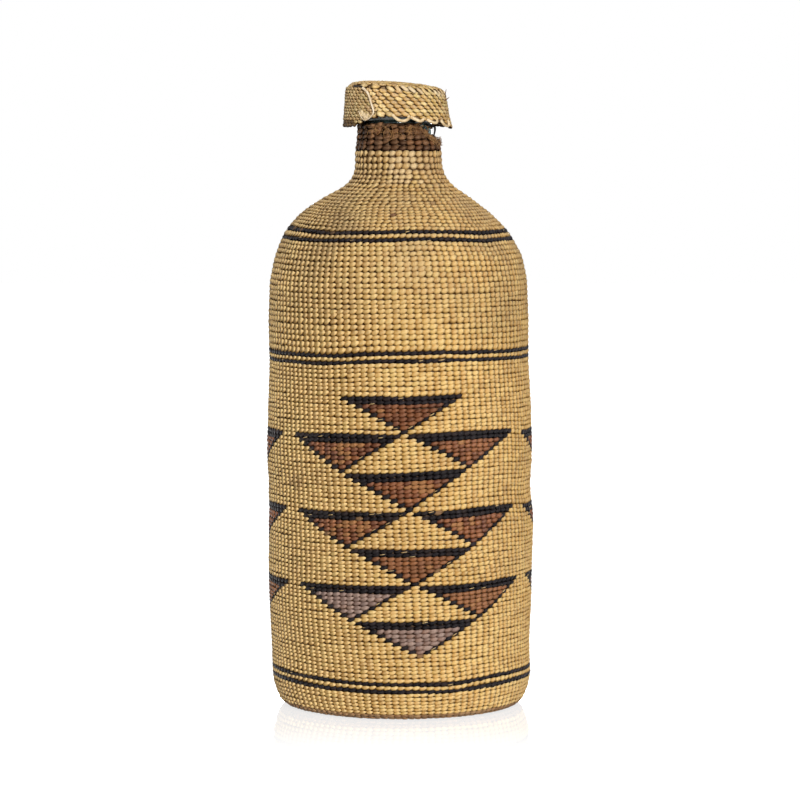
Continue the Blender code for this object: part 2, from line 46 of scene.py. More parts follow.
normal, uniform, choice, chanceOf = random.normal, random.uniform, random.choice, random.random
mm = 0.001


# nodes of one tree: a value is a number, a colour or another node's output

class NodeTree:
    def __init__(self, tree):
        self.tree = tree

    def put(self, value, target):
        if isinstance(value, tuple):
            target.default_value = (*value, 1.0) if target.type == "RGBA" else value
        elif isinstance(value, (int, float)):
            target.default_value = value
        else:
            self.tree.links.new(value, target)

    def add(self, kind, values=None, **settings):
        made = self.tree.nodes.new(f"ShaderNode{kind}")
        for key, value in settings.items():
            setattr(made, key, value)
        for key, value in (values or {}).items():
            self.put(value, made.inputs[key])
        return made

    def math(self, operation, *values, clamp=False):
        return self.add("Math", dict(enumerate(values)), operation=operation, use_clamp=clamp).outputs[0]

    def plus(self, first, second, clamp=False):
        return self.math("ADD", first, second, clamp=clamp)

    def minus(self, first, second, clamp=False):
        return self.math("SUBTRACT", first, second, clamp=clamp)

    def times(self, first, second, clamp=False):
        return self.math("MULTIPLY", first, second, clamp=clamp)

    # swings to both sides of a mask's middle
    def swing(self, value, amount):
        return self.times(self.minus(value, 0.5), amount)

    def span(self, value, low, high, start=0.0, end=1.0):
        return self.add("MapRange", {0: value, 1: low, 2: high, 3: start, 4: end}).outputs[0]

    def mix(self, amount, first, second):
        return self.add("Mix", {0: amount, 6: first, 7: second}, data_type="RGBA").outputs[2]

    def noise(self, vector, scale, detail=3.0, roughness=0.55):
        values = {"Vector": vector, "Scale": scale, "Detail": detail, "Roughness": roughness}
        return self.add("TexNoise", values).outputs["Fac"]

    def scaled(self, vector, scale):
        return self.add("VectorMath", {0: vector, 1: scale}, operation="MULTIPLY").outputs[0]

    def place(self):
        return self.add("TexCoord").outputs["Object"]

    def parts(self, vector):
        return self.add("SeparateXYZ", {0: vector}).outputs

    def attribute(self, name):
        return self.parts(self.add("Attribute", attribute_name=name).outputs["Vector"])

    def ramp(self, value, *stops):
        made = self.add("ValToRGB", {0: value})
        cells = made.color_ramp.elements
        while len(cells) < len(stops):
            cells.new(0.5)
        for cell, (place, colour) in zip(cells, stops):
            cell.position = place
            cell.color = (*colour, 1.0)
        return made.outputs[0]


def newGroup(name, inputs, outputs):
    group = bpy.data.node_groups.new(name, "ShaderNodeTree")
    for label, value in inputs.items():
        made = group.interface.new_socket(name=label, in_out="INPUT", socket_type="NodeSocketFloat")
        made.default_value = value
    for label in outputs:
        group.interface.new_socket(name=label, in_out="OUTPUT", socket_type="NodeSocketFloat")
    given, out = (group.nodes.new(kind) for kind in ("NodeGroupInput", "NodeGroupOutput"))
    return group, NodeTree(group), given.outputs, out.inputs


# the fibre of one flat strand: its own tone and streaks along it, with painted shade in the gaps between strands and
# painted highlights on its crest and tip
def makeStrandGroup():
    group, nodes, given, out = newGroup(
        "strand fibre", {"Streaks": 9.0, "Depth": 0.001, "Spread": 0.4},
        ("Tone", "Hue", "Streak", "GapShade", "CrestRubAndHighlight", "TipHighlight", "StainAndShade", "Pale"),
    )
    along, across, chance = nodes.attribute("strand")
    sunk, pale, hue = nodes.attribute("layer")
    fine = nodes.add("CombineXYZ", {
        0: nodes.times(along, 0.9), 1: nodes.times(across, given["Streaks"]), 2: nodes.times(chance, 57.0),
    })
    streak = nodes.noise(fine.outputs[0], 1.0, 4.0, 0.65)
    where = nodes.place()
    worn = nodes.noise(where, 34.0)
    grit = nodes.noise(where, 900.0, 2.0)
    tone = nodes.math("MULTIPLY_ADD", nodes.minus(chance, 0.5), given["Spread"], 0.5)
    tone = nodes.plus(nodes.plus(tone, nodes.swing(worn, 0.9)), nodes.swing(streak, 0.6))
    # painted shade: the deeper a part lies, the darker it is painted, more below a strand than above it, with fine grit
    # noise through it
    deep = nodes.math("DIVIDE", sunk, given["Depth"])
    deep = nodes.times(deep, nodes.span(across, -0.40, 0.25, 1.35, 0.74))
    deep = nodes.times(deep, nodes.span(along, 0.45, 0.70, 1.0, 0.7))
    deep = nodes.plus(deep, nodes.swing(grit, 0.5))
    # painted highlight at the upper right tip of each strand
    tip = nodes.span(nodes.plus(along, nodes.times(across, 0.55)), 0.22, 0.60)
    for label, value in (
        ("Tone", tone), ("Hue", hue), ("Streak", streak),
        # the crest is painted paler: a painted highlight, and straw rubbed paler there
        ("GapShade", nodes.span(deep, 0.26, 0.90)), ("CrestRubAndHighlight", nodes.span(deep, 0.0, 0.30, 1.0, 0.0)),
        ("TipHighlight", nodes.times(tip, nodes.span(deep, 0.45, 0.85, 1.0, 0.0))),
        # the pale share carries pale marks and painted highlights, the stain share carries stains and painted shade
        ("StainAndShade", nodes.times(pale, -1.0, clamp=True)), ("Pale", nodes.times(pale, 1.0, clamp=True)),
    ):
        nodes.put(value, out[label])
    return group


# what handling left, grey wear on the upper half, and painted shade, darker towards its sides and most on the left
# shoulder
def makeWearAndShadeGroup():
    group, nodes, _, out = newGroup("wearAndShade", {}, ("Grey", "PaintedShade"))
    where = nodes.place()
    x, _, z = nodes.parts(where)
    patch = nodes.span(nodes.noise(where, 55.0, 4.0), 0.35, 0.65, 0.5, 1.5)
    side = nodes.plus(nodes.span(x, -0.010, -0.042, 0.02, 0.11), nodes.span(x, 0.016, 0.046, 0.02, 0.22))
    shoulder = nodes.times(nodes.span(z, 0.172, 0.192), nodes.span(x, -0.004, -0.030, 0.0, 0.22))
    left = nodes.plus(shoulder, nodes.span(x, -0.022, -0.048, 0.0, 0.03))
    dark = nodes.plus(nodes.times(nodes.span(z, 0.130, 0.158), side), left)
    nodes.put(nodes.times(dark, patch, clamp=True), out["PaintedShade"])
    grey = nodes.times(nodes.span(z, 0.150, 0.195, 0.04, 0.34), patch)
    right = nodes.times(nodes.span(x, 0.020, 0.048, 0.0, 0.10), patch)
    nodes.put(nodes.plus(grey, right, clamp=True), out["Grey"])
    return group


strandFibre, wearAndShade = makeStrandGroup(), makeWearAndShadeGroup()


def newMaterial(name):
    material = bpy.data.materials.new(name)
    material.use_nodes = True
    return material, NodeTree(material.node_tree), material.node_tree.nodes["Principled BSDF"].inputs


def dress(nodes, shader, colour, rough, height, relief, strength=1.0):
    bump = nodes.add("Bump", {"Strength": strength, "Distance": relief, "Height": height})
    for label, value in (("Base Color", colour), ("Roughness", rough), ("Normal", bump.outputs[0])):
        nodes.put(value, shader[label])


def strandMaterial(name, finish):
    material, nodes, shader = newMaterial(name)
    given = {"Streaks": finish["streaks"], "Depth": finish["depth"], "Spread": finish["spread"]}
    fibre = nodes.add("Group", given, node_tree=strandFibre).outputs
    colour = nodes.ramp(fibre["Tone"], *zip((0.15, 0.50, finish["lightest"]), finish["tones"]))
    masks = [
        (nodes.span(fibre["Hue"], 0.70, 0.95, 0.0, finish["hueShare"]), "warm"),
        (nodes.span(fibre["Hue"], 0.05, 0.30, finish["hueShare"], 0.0), "cool"),
        # painted highlights on crests and tips
        (nodes.times(fibre["CrestRubAndHighlight"], finish["crestShare"]), "crest"),
        (nodes.times(fibre["TipHighlight"], finish["tipHighlightShare"]), "crest"),
    ]
    if "grey" in finish:
        wornAndShaded = nodes.add("Group", node_tree=wearAndShade).outputs
        # grey wear, and painted shade towards the sides in the gap colour
        masks += [(wornAndShaded["Grey"], "grey"), (wornAndShaded["PaintedShade"], "gapShade")]
    masks += [
        # pale marks and painted highlights, then stains and painted shade
        (fibre["Pale"], "pale"), (fibre["StainAndShade"], "stainAndShade"),
        (nodes.span(fibre["Streak"], 0.30, 0.70, finish["lineShare"], 0.0), "line"),
        # painted shade in the recesses between strands
        (nodes.times(fibre["GapShade"], finish["gapShadeShare"]), "gapShade"),
    ]
    for mask, key in masks:
        colour = nodes.mix(mask, colour, finish[key])
    rough = nodes.math("MULTIPLY_ADD", fibre["Streak"], finish["roughSpread"], finish["rough"])
    rough = nodes.plus(rough, nodes.times(fibre["GapShade"], 0.3))
    dress(nodes, shader, colour, rough, fibre["Streak"], finish["bump"])
    nodes.put(nodes.span(fibre["GapShade"], 0.0, 0.6, finish["shine"], 0.0), shader["Specular IOR Level"])
    return material


# what a strand's finish has where its own doesn't say
plainFinish = {
    "lightest": 0.9, "hueShare": 0.5, "spread": 0.7, "lineShare": 0.4, "crestShare": 0.3, "gapShadeShare": 0.9,
    "tipHighlightShare": 0.18, "streaks": 5, "rough": 0.42, "roughSpread": 0.2,
}
# in each finish the gap colour is painted shade in the recesses and towards the sides, the crest colour is painted
# highlight on crests and tips, where straw is also rubbed paler, and the stain colour serves stains and painted shade
# alike
finishes = {
    "straw": {
        "slot": "straw", "tones": ((0.47, 0.244, 0.06), (0.72, 0.408, 0.11), (0.88, 0.582, 0.204)), "lightest": 0.85,
        "warm": (0.76, 0.43, 0.15), "cool": (0.66, 0.47, 0.13), "hueShare": 0.3, "spread": 0.55,
        "pale": (0.86, 0.66, 0.38), "stainAndShade": (0.2, 0.105, 0.062), "grey": (0.52, 0.4, 0.25),
        "crest": (0.98, 0.77, 0.4), "crestShare": 0.4, "tipHighlightShare": 0.42, "line": (0.44, 0.23, 0.07),
        "lineShare": 0.25, "gapShade": (0.075, 0.033, 0.008), "gapShadeShare": 0.97, "streaks": 7, "depth": 0.0007,
        "rough": 0.4, "shine": 0.09, "bump": 0.0001,
    },
    "blackStem": {
        "slot": "black_stem", "tones": ((0.006, 0.004, 0.005), (0.011, 0.008, 0.009), (0.034, 0.025, 0.027)),
        "warm": (0.05, 0.028, 0.02), "cool": (0.012, 0.01, 0.014), "pale": (0.34, 0.19, 0.09),
        "stainAndShade": (0.006, 0.005, 0.005), "crest": (0.04, 0.031, 0.033), "line": (0.006, 0.005, 0.005),
        "lineShare": 0.5, "gapShade": (0.003, 0.002, 0.002), "gapShadeShare": 0.95, "streaks": 6, "depth": 0.00062,
        "rough": 0.26, "roughSpread": 0.3, "shine": 0.15, "bump": 0.0003,
    },
    "brownStem": {
        "slot": "brown_stem", "tones": ((0.105, 0.029, 0.011), (0.2, 0.06, 0.022), (0.38, 0.14, 0.055)),
        "warm": (0.34, 0.115, 0.034), "cool": (0.155, 0.05, 0.03), "hueShare": 0.6, "spread": 0.9,
        "pale": (0.44, 0.2, 0.075), "stainAndShade": (0.05, 0.02, 0.01), "crest": (0.52, 0.26, 0.14),
        "line": (0.085, 0.026, 0.009), "gapShade": (0.03, 0.011, 0.005), "gapShadeShare": 0.95, "streaks": 6, "depth": 0.00064,
        "rough": 0.32, "shine": 0.24, "bump": 0.00014,
    },
    "fadedStem": {
        "slot": "faded_stem", "tones": ((0.16, 0.09, 0.066), (0.27, 0.16, 0.122), (0.43, 0.29, 0.225)),
        "warm": (0.34, 0.165, 0.095), "cool": (0.22, 0.15, 0.135), "pale": (0.55, 0.38, 0.25),
        "stainAndShade": (0.06, 0.03, 0.02), "crest": (0.56, 0.42, 0.35), "crestShare": 0.35, "line": (0.11, 0.06, 0.045),
        "gapShade": (0.045, 0.022, 0.014), "streaks": 6, "depth": 0.00085, "roughSpread": 0.25, "shine": 0.3,
        "bump": 0.00012,
    },
    "neckRoot": {
        "slot": "neck_root", "tones": ((0.062, 0.026, 0.011), (0.15, 0.068, 0.029), (0.33, 0.165, 0.074)),
        "warm": (0.3, 0.115, 0.04), "cool": (0.12, 0.062, 0.036), "hueShare": 0.6, "spread": 0.9,
        "pale": (0.48, 0.29, 0.13), "stainAndShade": (0.03, 0.015, 0.008), "crest": (0.36, 0.2, 0.1), "crestShare": 0.35,
        "line": (0.035, 0.015, 0.007), "lineShare": 0.5, "gapShade": (0.01, 0.004, 0.002), "gapShadeShare": 1, "depth": 0.0006,
        "roughSpread": 0.25, "shine": 0.22, "bump": 0.00018,
    },
    "root": {
        "slot": "root", "tones": ((0.2, 0.105, 0.044), (0.34, 0.185, 0.08), (0.5, 0.31, 0.15)),
        "warm": (0.4, 0.19, 0.08), "cool": (0.27, 0.18, 0.09), "spread": 0.6, "pale": (0.58, 0.4, 0.21),
        "stainAndShade": (0.08, 0.04, 0.018), "crest": (0.52, 0.32, 0.16), "line": (0.12, 0.058, 0.024), "lineShare": 0.5,
        "gapShade": (0.07, 0.034, 0.014), "depth": 0.0009, "rough": 0.52, "roughSpread": 0.25, "shine": 0.25,
        "bump": 0.00016,
    },
    "capStraw": {
        "slot": "cap_straw", "tones": ((0.5, 0.276, 0.076), (0.85, 0.53, 0.172), (0.98, 0.74, 0.32)),
        "lightest": 0.85, "warm": (0.68, 0.38, 0.175), "cool": (0.56, 0.42, 0.12), "spread": 0.8,
        "pale": (0.95, 0.8, 0.54), "stainAndShade": (0.036, 0.024, 0.017), "crest": (0.98, 0.82, 0.54), "crestShare": 0.35,
        "tipHighlightShare": 0.45, "line": (0.36, 0.2, 0.07), "gapShade": (0.055, 0.024, 0.008), "gapShadeShare": 1, "depth": 0.0006,
        "shine": 0.2, "bump": 0.00014,
    },
}
finishes = {dye: {**plainFinish, **finish} for dye, finish in finishes.items()}
materials = {dye: strandMaterial(dye, finish) for dye, finish in finishes.items()}
print("materials ready")


# shapes

def meshFrom(shape, name):
    mesh = bpy.data.meshes.new(name)
    shape.to_mesh(mesh)
    shape.free()
    return mesh


def addPiece(name, mesh, material, body, nodes):
    piece = bpy.data.objects.new(name, mesh)
    bpy.context.scene.collection.objects.link(piece)
    mesh.materials.clear()
    mesh.materials.append(material)
    mesh.shade_smooth()
    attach(piece, body)
    if nodes:
        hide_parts(*nodes)


# one visible strap of a strand: its ends dive into the work, and its skin is rounded
# a station is along, up, crest, width and thickness, with crest and thickness in metres
def makeStrap(stations, sides):
    shape = bmesh.new()
    bmesh.ops.create_circle(shape, cap_ends=True, segments=sides, radius=1.0)
    for axis, angle in (("Y", -0.5 * pi), ("X", 0.5 * pi)):
        bmesh.ops.rotate(shape, verts=shape.verts, matrix=Matrix.Rotation(angle, 3, axis))
    along, up, crest, wide, thick = stations[0]
    here, size, cap = Vector((along, up, crest - thick)), (wide, thick), shape.faces[:]
    bmesh.ops.scale(shape, verts=shape.verts, vec=(1.0, wide, thick))
    bmesh.ops.translate(shape, verts=shape.verts, vec=here)
    for along, up, crest, wide, thick in stations[1:]:
        grown = bmesh.ops.extrude_face_region(shape, geom=cap)["geom"]
        cap = [item for item in grown if isinstance(item, bmesh.types.BMFace)]
        ring = [item for item in grown if isinstance(item, bmesh.types.BMVert)]
        there = Vector((along, up, crest - thick))
        growth = (1.0, wide / size[0], thick / size[1])
        bmesh.ops.translate(shape, verts=ring, vec=there - here)
        bmesh.ops.scale(shape, verts=ring, vec=growth, space=Matrix.Translation(-there))
        here, size = there, (wide, thick)
    bmesh.ops.recalc_face_normals(shape, faces=shape.faces)
    points = np.array([vertex.co for vertex in shape.verts])
    faces = [[vertex.index for vertex in face.verts] for face in shape.faces]
    shape.free()
    return {"points": points, "faces": faces}


stitchStrap = makeStrap((
    (-0.72, -0.13, -0.00098, 0.27, 0.00027), (-0.44, -0.09, -0.00036, 0.54, 0.00042),
    (-0.08, -0.02, -0.00006, 0.62, 0.00050), (0.20, 0.06, 0.00000, 0.58, 0.00048),
    (0.44, 0.16, -0.00001, 0.42, 0.00038), (0.62, 0.24, -0.00012, 0.24, 0.00028),
    (0.75, 0.29, -0.00075, 0.08, 0.00018),
), 6)
# strap of plaiting, which shows as a petal
plaitStrap = makeStrap((
    (-0.66, -0.02, -0.00110, 0.10, 0.00025), (-0.50, 0.00, -0.00052, 0.26, 0.00040),
    (-0.30, 0.03, -0.00022, 0.50, 0.00052), (-0.08, 0.05, -0.00004, 0.71, 0.00060),
    (0.14, -0.02, 0.00000, 0.72, 0.00060), (0.36, -0.01, -0.00002, 0.46, 0.00052),
    (0.54, 0.02, -0.00012, 0.22, 0.00038), (0.66, 0.04, -0.00080, 0.07, 0.00020),
), 8)
# flat strand that shows over its whole length
flatStrap = makeStrap((
    (-0.60, 0.0, -0.00090, 0.30, 0.00030), (-0.50, 0.0, -0.00032, 0.42, 0.00040),
    (-0.25, 0.0, -0.00004, 0.50, 0.00045), (0.05, 0.0, 0.00000, 0.50, 0.00045),
    (0.32, 0.0, -0.00004, 0.47, 0.00042), (0.50, 0.0, -0.00028, 0.36, 0.00036),
    (0.60, 0.0, -0.00090, 0.22, 0.00026),
), 8)


# what a table of pairs says at a place
def lookUp(table, place, **how):
    return np.interp(place, *zip(*table), **how)


outlineStep = 0.25 * mm


# a turned surface: distance up its outline, then radius, height and outward direction there
def makeOutline(points, smoothing, leans):
    points = mm * np.array(points)
    along = np.concatenate([[0.0], np.cumsum(np.hypot(*np.diff(points, axis=0).T))])
    grid = np.linspace(0.0, along[-1], int(along[-1] / outlineStep) + 1)
    radius, height = (np.interp(grid, along, points[:, i]) for i in (0, 1))
    reach = int(3 * smoothing / outlineStep)
    kernel = np.exp(-0.5 * (np.arange(-reach, reach + 1) * outlineStep / smoothing) ** 2)
    kernel /= kernel.sum()
    for line in (radius, height):
        padded = np.pad(line, reach, mode="reflect", reflect_type="odd")
        line[:] = np.convolve(padded, kernel, mode="valid")
    radius[0] = points[0, 0]
    across, rise = np.gradient(radius, grid), np.gradient(height, grid)
    length = np.hypot(across, rise)
    return {"s": grid, "r": radius, "z": height, "nr": rise / length, "nz": -across / length, "leans": leans}


# the cover leans to and fro: height and shift, in mm
leans = (
    (0, 0.8), (12, 0.8), (25, 0.4), (55, 0.3), (70, 0.6), (78, 0.6), (85, 0), (125, 0), (150, -0.4), (180, -0.4),
    (187, -1), (196, -1.6), (200, -1.5), (204, -0.8), (208, -0.1), (213, -0.2), (220, -0.5), (233, -0.7),
)


def leanAt(height):
    return mm * lookUp(leans, height / mm)


def onOutline(outline, turn, s, out):
    keys = ("r", "z", "nr", "nz")
    radius, height, acrossNormal, upNormal = (np.interp(s, outline["s"], outline[key]) for key in keys)
    # past its ends the outline runs straight on
    past = np.minimum(s - outline["s"][0], 0.0) + np.maximum(s - outline["s"][-1], 0.0)
    reach = radius - past * upNormal + out * acrossNormal
    height = height + past * acrossNormal + out * upNormal
    shift = leanAt(height) if outline["leans"] else 0.0
    return np.stack(np.broadcast_arrays(shift + reach * np.sin(turn), -reach * np.cos(turn), height), axis=-1)


# lays many straps: each row is turn, s, along x, along up, across x, across up, thickness, lift, chance, pale, hue
def layStraps(name, strap, outline, rows, bend=None):
    rows = np.asarray(rows, dtype=float)
    turn, s, alongX, alongUp, acrossX, acrossUp, thick, lift, chance, pale, hue = (rows[:, i:i + 1] for i in range(11))
    along, across, out = (strap["points"][:, i][None, :] for i in range(3))
    radius = np.maximum(np.interp(s, outline["s"], outline["r"]), 1.5 * mm)
    vertexTurn = turn + (along * alongX + across * acrossX) / radius
    vertexS = s + along * alongUp + across * acrossUp
    if bend is not None:
        vertexS = vertexS + bend(vertexTurn, vertexS)
    sunk = out * thick
    points = onOutline(outline, vertexTurn, vertexS, sunk + lift)
    copies, size = points.shape[:2]
    loops = np.concatenate([np.array(face) for face in strap["faces"]])
    lengths = np.array([len(face) for face in strap["faces"]])
    starts = np.concatenate([[0], np.cumsum(lengths)[:-1]])
    shift = np.arange(copies)[:, None]
    mesh = bpy.data.meshes.new(name)
    for part, count, label, values in (
        (mesh.vertices, size, "co", points), (mesh.loops, len(loops), "vertex_index", loops + shift * size),
        (mesh.polygons, len(lengths), "loop_start", starts + shift * len(loops)),
    ):
        part.add(copies * count)
        part.foreach_set(label, values.reshape(-1).astype(np.float32 if label == "co" else np.int32))
    mesh.update(calc_edges=True)
    for label, values in (("strand", (along, across, chance)), ("layer", (-sunk, pale, hue))):
        made = mesh.attributes.new(label, "FLOAT_VECTOR", "POINT")
        values = np.stack([np.broadcast_to(value, sunk.shape) for value in values], axis=-1)
        made.data.foreach_set("vector", values.reshape(-1).astype(np.float32))
    return mesh


# cover, with its outline as radius and height in mm

cover = {
    "warps": 114,
    "outline": (
        (0, 0.6), (12, 0.6), (30, 0.5), (42, 0.4), (44.6, 0.1), (46.4, 0.2), (47.5, 0.8), (48.3, 1.5), (48.9, 2.2),
        (49.8, 3.8), (51.1, 7.8), (51.9, 12), (51.8, 24), (52.5, 39), (52.8, 48), (53, 65), (53.1, 73), (52.4, 89),
        (53, 97), (53.1, 105), (52.6, 121), (51.8, 137), (52, 153), (51.7, 161), (51.5, 169), (50.7, 173),
        (49.9, 177), (48.7, 181), (47.2, 184), (45.8, 187), (44, 190), (41.2, 193), (37.8, 196.5), (33.5, 199.7),
        (28.7, 203), (23.5, 206), (21.2, 207.7), (19.8, 209.3), (18.5, 211), (17.5, 214), (17.3, 221), (16.6, 225),
        (16.3, 228), (16.2, 233),
    ),
    "smoothing": 1.2 * mm,
    "wallStart": 0.046,           # from here up the outline it is wall and no longer base
    "motifTurn": radians(1.1),
    "lean": radians(0.139),       # each course stands this far round from the one above it
    "figureTops": (0.1263, 0.1119, 0.0965, 0.0815, 0.0668, 0.0529, 0.0391, 0.0246),
    "wander": radians(0.10),
    "splitAt": 2000,              # with more stitches than this a band is made in quarters
    "driftFrom": 0.048,           # up the outline
    "brownFrom": 0.2210, "looseFrom": 0.2240, "brownTo": 0.2315,      # heights of the brown neck courses
    "dyedLess": 0.35, "sliverShare": (0.09, 0.03),
}
figure = {"rows": 9, "bar": 2, "side": 9, "repeat": 38, "motifs": 3, "courses": 63}
coverOutline = makeOutline(cover["outline"], cover["smoothing"], True)
straightOutline = dict(coverOutline, leans=False)


def leanOver(shape):
    for vertex in shape.verts:
        vertex.co.x += leanAt(vertex.co.z)


def sAtHeight(height):
    wall = coverOutline["s"] > cover["wallStart"]
    return float(np.interp(height, coverOutline["z"][wall], coverOutline["s"][wall]))


# how far the courses ride up or down: height, then degrees round and rise, in mm
drifts = (
    (0, ((0, 0), (90, 0))),
    (13, ((-150, 0.6), (-62, 1.6), (-37, 0.9), (-14, 0.2), (2, 0.3), (23, 0.1), (42, 1.4), (59, 1.7), (120, 0.2))),
    (37.5, ((-150, -0.4), (-60, 0), (-30, -0.2), (5, 0.2), (25, 0.5), (50, 1.1), (120, 0.6))),
    (51.2, ((-150, 0), (-60, -0.2), (-40, 0), (-20, 0.4), (0, 0.4), (28, 0.4), (48, 1.2), (68, 1.4), (120, 0.2))),
    (65.2, ((-150, 0.4), (-60, 0.3), (-20, 0.7), (0, 0.7), (30, 1), (50, 1.2), (68, 0.6), (120, 0))),
    (79.8, ((-150, 0.4), (-60, 0.6), (-40, 0.1), (-20, 0.3), (0, 0.5), (25, 1), (40, 1.7), (52, 1.8), (68, 0.4),
            (120, 0))),
    (94.9, ((-150, -0.4), (-60, 0), (-10, 0.3), (0, 0.8), (30, 2), (50, 2), (68, 0.9), (120, 0.2))),
    (110.3, ((-150, -0.4), (-60, -0.6), (-45, -0.3), (-20, 0.3), (0, 0.4), (30, 1.1), (45, 1.1), (56, 0.5),
             (68, -0.8), (120, -0.2))),
    (124.7, ((-150, 0), (-60, 0.1), (-20, 0.4), (0, 0.5), (30, 1), (60, 0.6), (120, 0))),
    (141.5, ((-150, 0.2), (-70, -1.3), (-34, -1.3), (-12, 0.1), (3, 0.4), (20, 0.6), (52, 0.1), (120, -0.3))),
    (165, ((-150, 0.4), (-60, 0), (0, 0), (60, 0.2), (120, -0.2))),
    (188.2, ((-150, -0.2), (-72, 0.4), (-64, 0.2), (-36, -0.2), (0, 0.3), (10, 0.6), (26, 0.3), (50, -0.5),
             (62, -0.2), (120, 0.3))),
    (190, ((-150, 0.2), (-74, 1.6), (-60, 1), (-46, 0.2), (-36, -0.2), (0, 0.3), (10, 0.6), (26, 0.3),
           (50, -0.5), (62, -0.2), (120, 0.3))),
    (210, ((0, 0), (90, 0))),
)
# how far the warps wander from a straight lean: height in mm, degrees
strays = (
    (20, -1.6), (30, -1.9), (40, -2), (52, -1.5), (66, -1.4), (80, -1.2), (96, -0.6), (110, -0.6), (126, -0.4),
    (142, 0),
)
# where they bulge to one side: degrees round and degrees, then height in mm and share
bulges = (
    (((0, 0), (20, 1), (45, 1.3), (62, 0)), ((22, 0), (34, 1), (52, 1), (64, 0))),
    (((15, 0), (28, -0.6), (43, -1.3), (58, -1.6), (78, -1.4), (95, 0)),
     ((36, 0), (70, 1.2), (90, 1.2), (112, 0.65), (150, 0))),
    (((-95, 0), (-66, 1.5), (-55, 1.9), (-42, 1.1), (-33, 0)), ((30, 0), (68, 1), (116, 1), (160, 0))),
)
# round the neck the warps stand further apart at the sides: even spacing, where they stand
neckSpread = (
    (-180, -180), (-90, -100), (-60, -77), (-43, -57), (-34.5, -44), (-26, -31), (-17.2, -19.5), (-8.6, -9), (0, 0),
    (8.6, 8.8), (17.2, 18), (26, 28.5), (34.5, 41), (43, 54), (60, 75), (90, 100), (180, 180),
)
# thickness of a stitch by its height in mm
thickness = ((150, 1.0), (200, 1.12), (210, 1.40))
driftStep = 5
driftGrid = mm * np.array([lookUp(table, np.arange(-180, 180, driftStep), period=360) for _, table in drifts])
driftHeights = mm * np.array([height for height, _ in drifts])


def ride(turn, s):
    height = np.interp(s, coverOutline["s"], coverOutline["z"])
    level = np.clip(np.interp(height, driftHeights, np.arange(len(driftHeights))), 0, len(driftHeights) - 1.001)
    level = np.where(s < cover["driftFrom"], 0.0, level)
    low = level.astype(int)
    column = (np.degrees(turn) + 180.0) % 360.0 / driftStep
    left = column.astype(int) % driftGrid.shape[1]
    right = (left + 1) % driftGrid.shape[1]
    side = column - column.astype(int)
    below, above = (driftGrid[at, left] * (1 - side) + driftGrid[at, right] * side for at in (low, low + 1))
    return below * (1 - level + low) + above * (level - low)


def evenCourses(start, end, count, spread=0.10, grow=(1.0, 1.0)):
    sizes = 1.0 + spread * uniform(-1.0, 1.0, count)
    sizes *= np.interp(np.arange(count), np.linspace(0, count - 1, len(grow)), grow)
    edges = start + (end - start) * np.concatenate([[0.0], np.cumsum(sizes) / sizes.sum()])
    return list(zip(edges[:-1], edges[1:]))


# zones from the middle of the base up to the neck: node, dye, courses
zones = []


def addZone(node, dye, start, end, count, spread=0.10, grow=(1.0, 1.0)):
    zones.append({"node": node, "dye": dye, "courses": evenCourses(start, end, count, spread, grow)})


def addWallZone(node, dye, low, high, *rest):
    addZone(node, dye, sAtHeight(low), sAtHeight(high), *rest)


def addPair(name, middle):
    edges = [sAtHeight(middle + share * 1.5 * mm) for share in (-1.5, -0.5, 0.5, 1.5)]
    kinds = (("black_course_1", "blackStem"), ("straw_course", "straw"), ("black_course_2", "blackStem"))
    for (node, dye), low, high in zip(kinds, edges, edges[1:]):
        zones.append({"node": f"{name}_{node}", "dye": dye, "courses": [(low, high)]})


footEdge = 0.0438
addZone("base_start", "root", 0.0012, 0.0080, 4)
addZone("base_twining", "straw", 0.0080, footEdge, 22)
addZone("base_turn_course", "root", footEdge, sAtHeight(0.0022), 3, 0.04)
addWallZone("foot_twining", "straw", 0.0022, 0.01075, 6)
addPair("low", 0.0130)
figureTops = cover["figureTops"]
figured = evenCourses(sAtHeight(0.01525), sAtHeight(figureTops[-1]), 6)
for low, high in zip(figureTops[::-1], figureTops[-2::-1]):
    figured += evenCourses(sAtHeight(low), sAtHeight(high), figure["rows"], 0.07)
figured += evenCourses(sAtHeight(figureTops[0]), sAtHeight(0.13925), 7)
zones.append({"node": "figured_twining", "dye": "straw", "courses": figured})
addPair("middle", 0.1415)
addWallZone("upper_twining", "straw", 0.14375, 0.18595, 21, 0.12)
addPair("high", 0.1882)
addWallZone("shoulder_twining", "straw", 0.19045, 0.2084, 14, 0.08, (0.94, 0.90, 0.94, 1.20, 1.16))
addWallZone(
    "neck_straw_courses", "straw", 0.2084, cover["brownFrom"], 6, 0.04, (0.88, 0.90, 0.90, 1.06, 1.14, 1.08))
addWallZone("neck_brown_courses", "neckRoot", cover["brownFrom"], cover["brownTo"], 5, 0.08)

# stitches that the dye missed or left: degrees round, height, degrees, rise, share, with lengths in mm
paleSpots = (
    (-25.5, 105.5, 4.5, 4.5, 0.8), (-17, 107.5, 3.5, 2.2, 0.55), (-31, 100, 3, 3, 0.5), (-24.5, 102, 3.6, 6, 0.45),
    (9, 90.5, 6, 2.8, 0.7), (13.5, 88, 4, 2, 0.6), (-9.5, 120.5, 2, 1, 0.9), (-21, 76, 7, 3.5, 0.6),
    (-29, 73, 5, 3, 0.45), (27, 77, 5, 3, 0.25), (24, 107.5, 6, 3, 0.3), (8, 59, 6, 3, 0.2), (30, 47, 6, 3, 0.2),
)
# fills that are lighter or darker than the others: row and side
fillTones = {(0, 0): -0.20, (1, 9): 0.10, (4, 0): 0.26, (5, 9): 0.42}
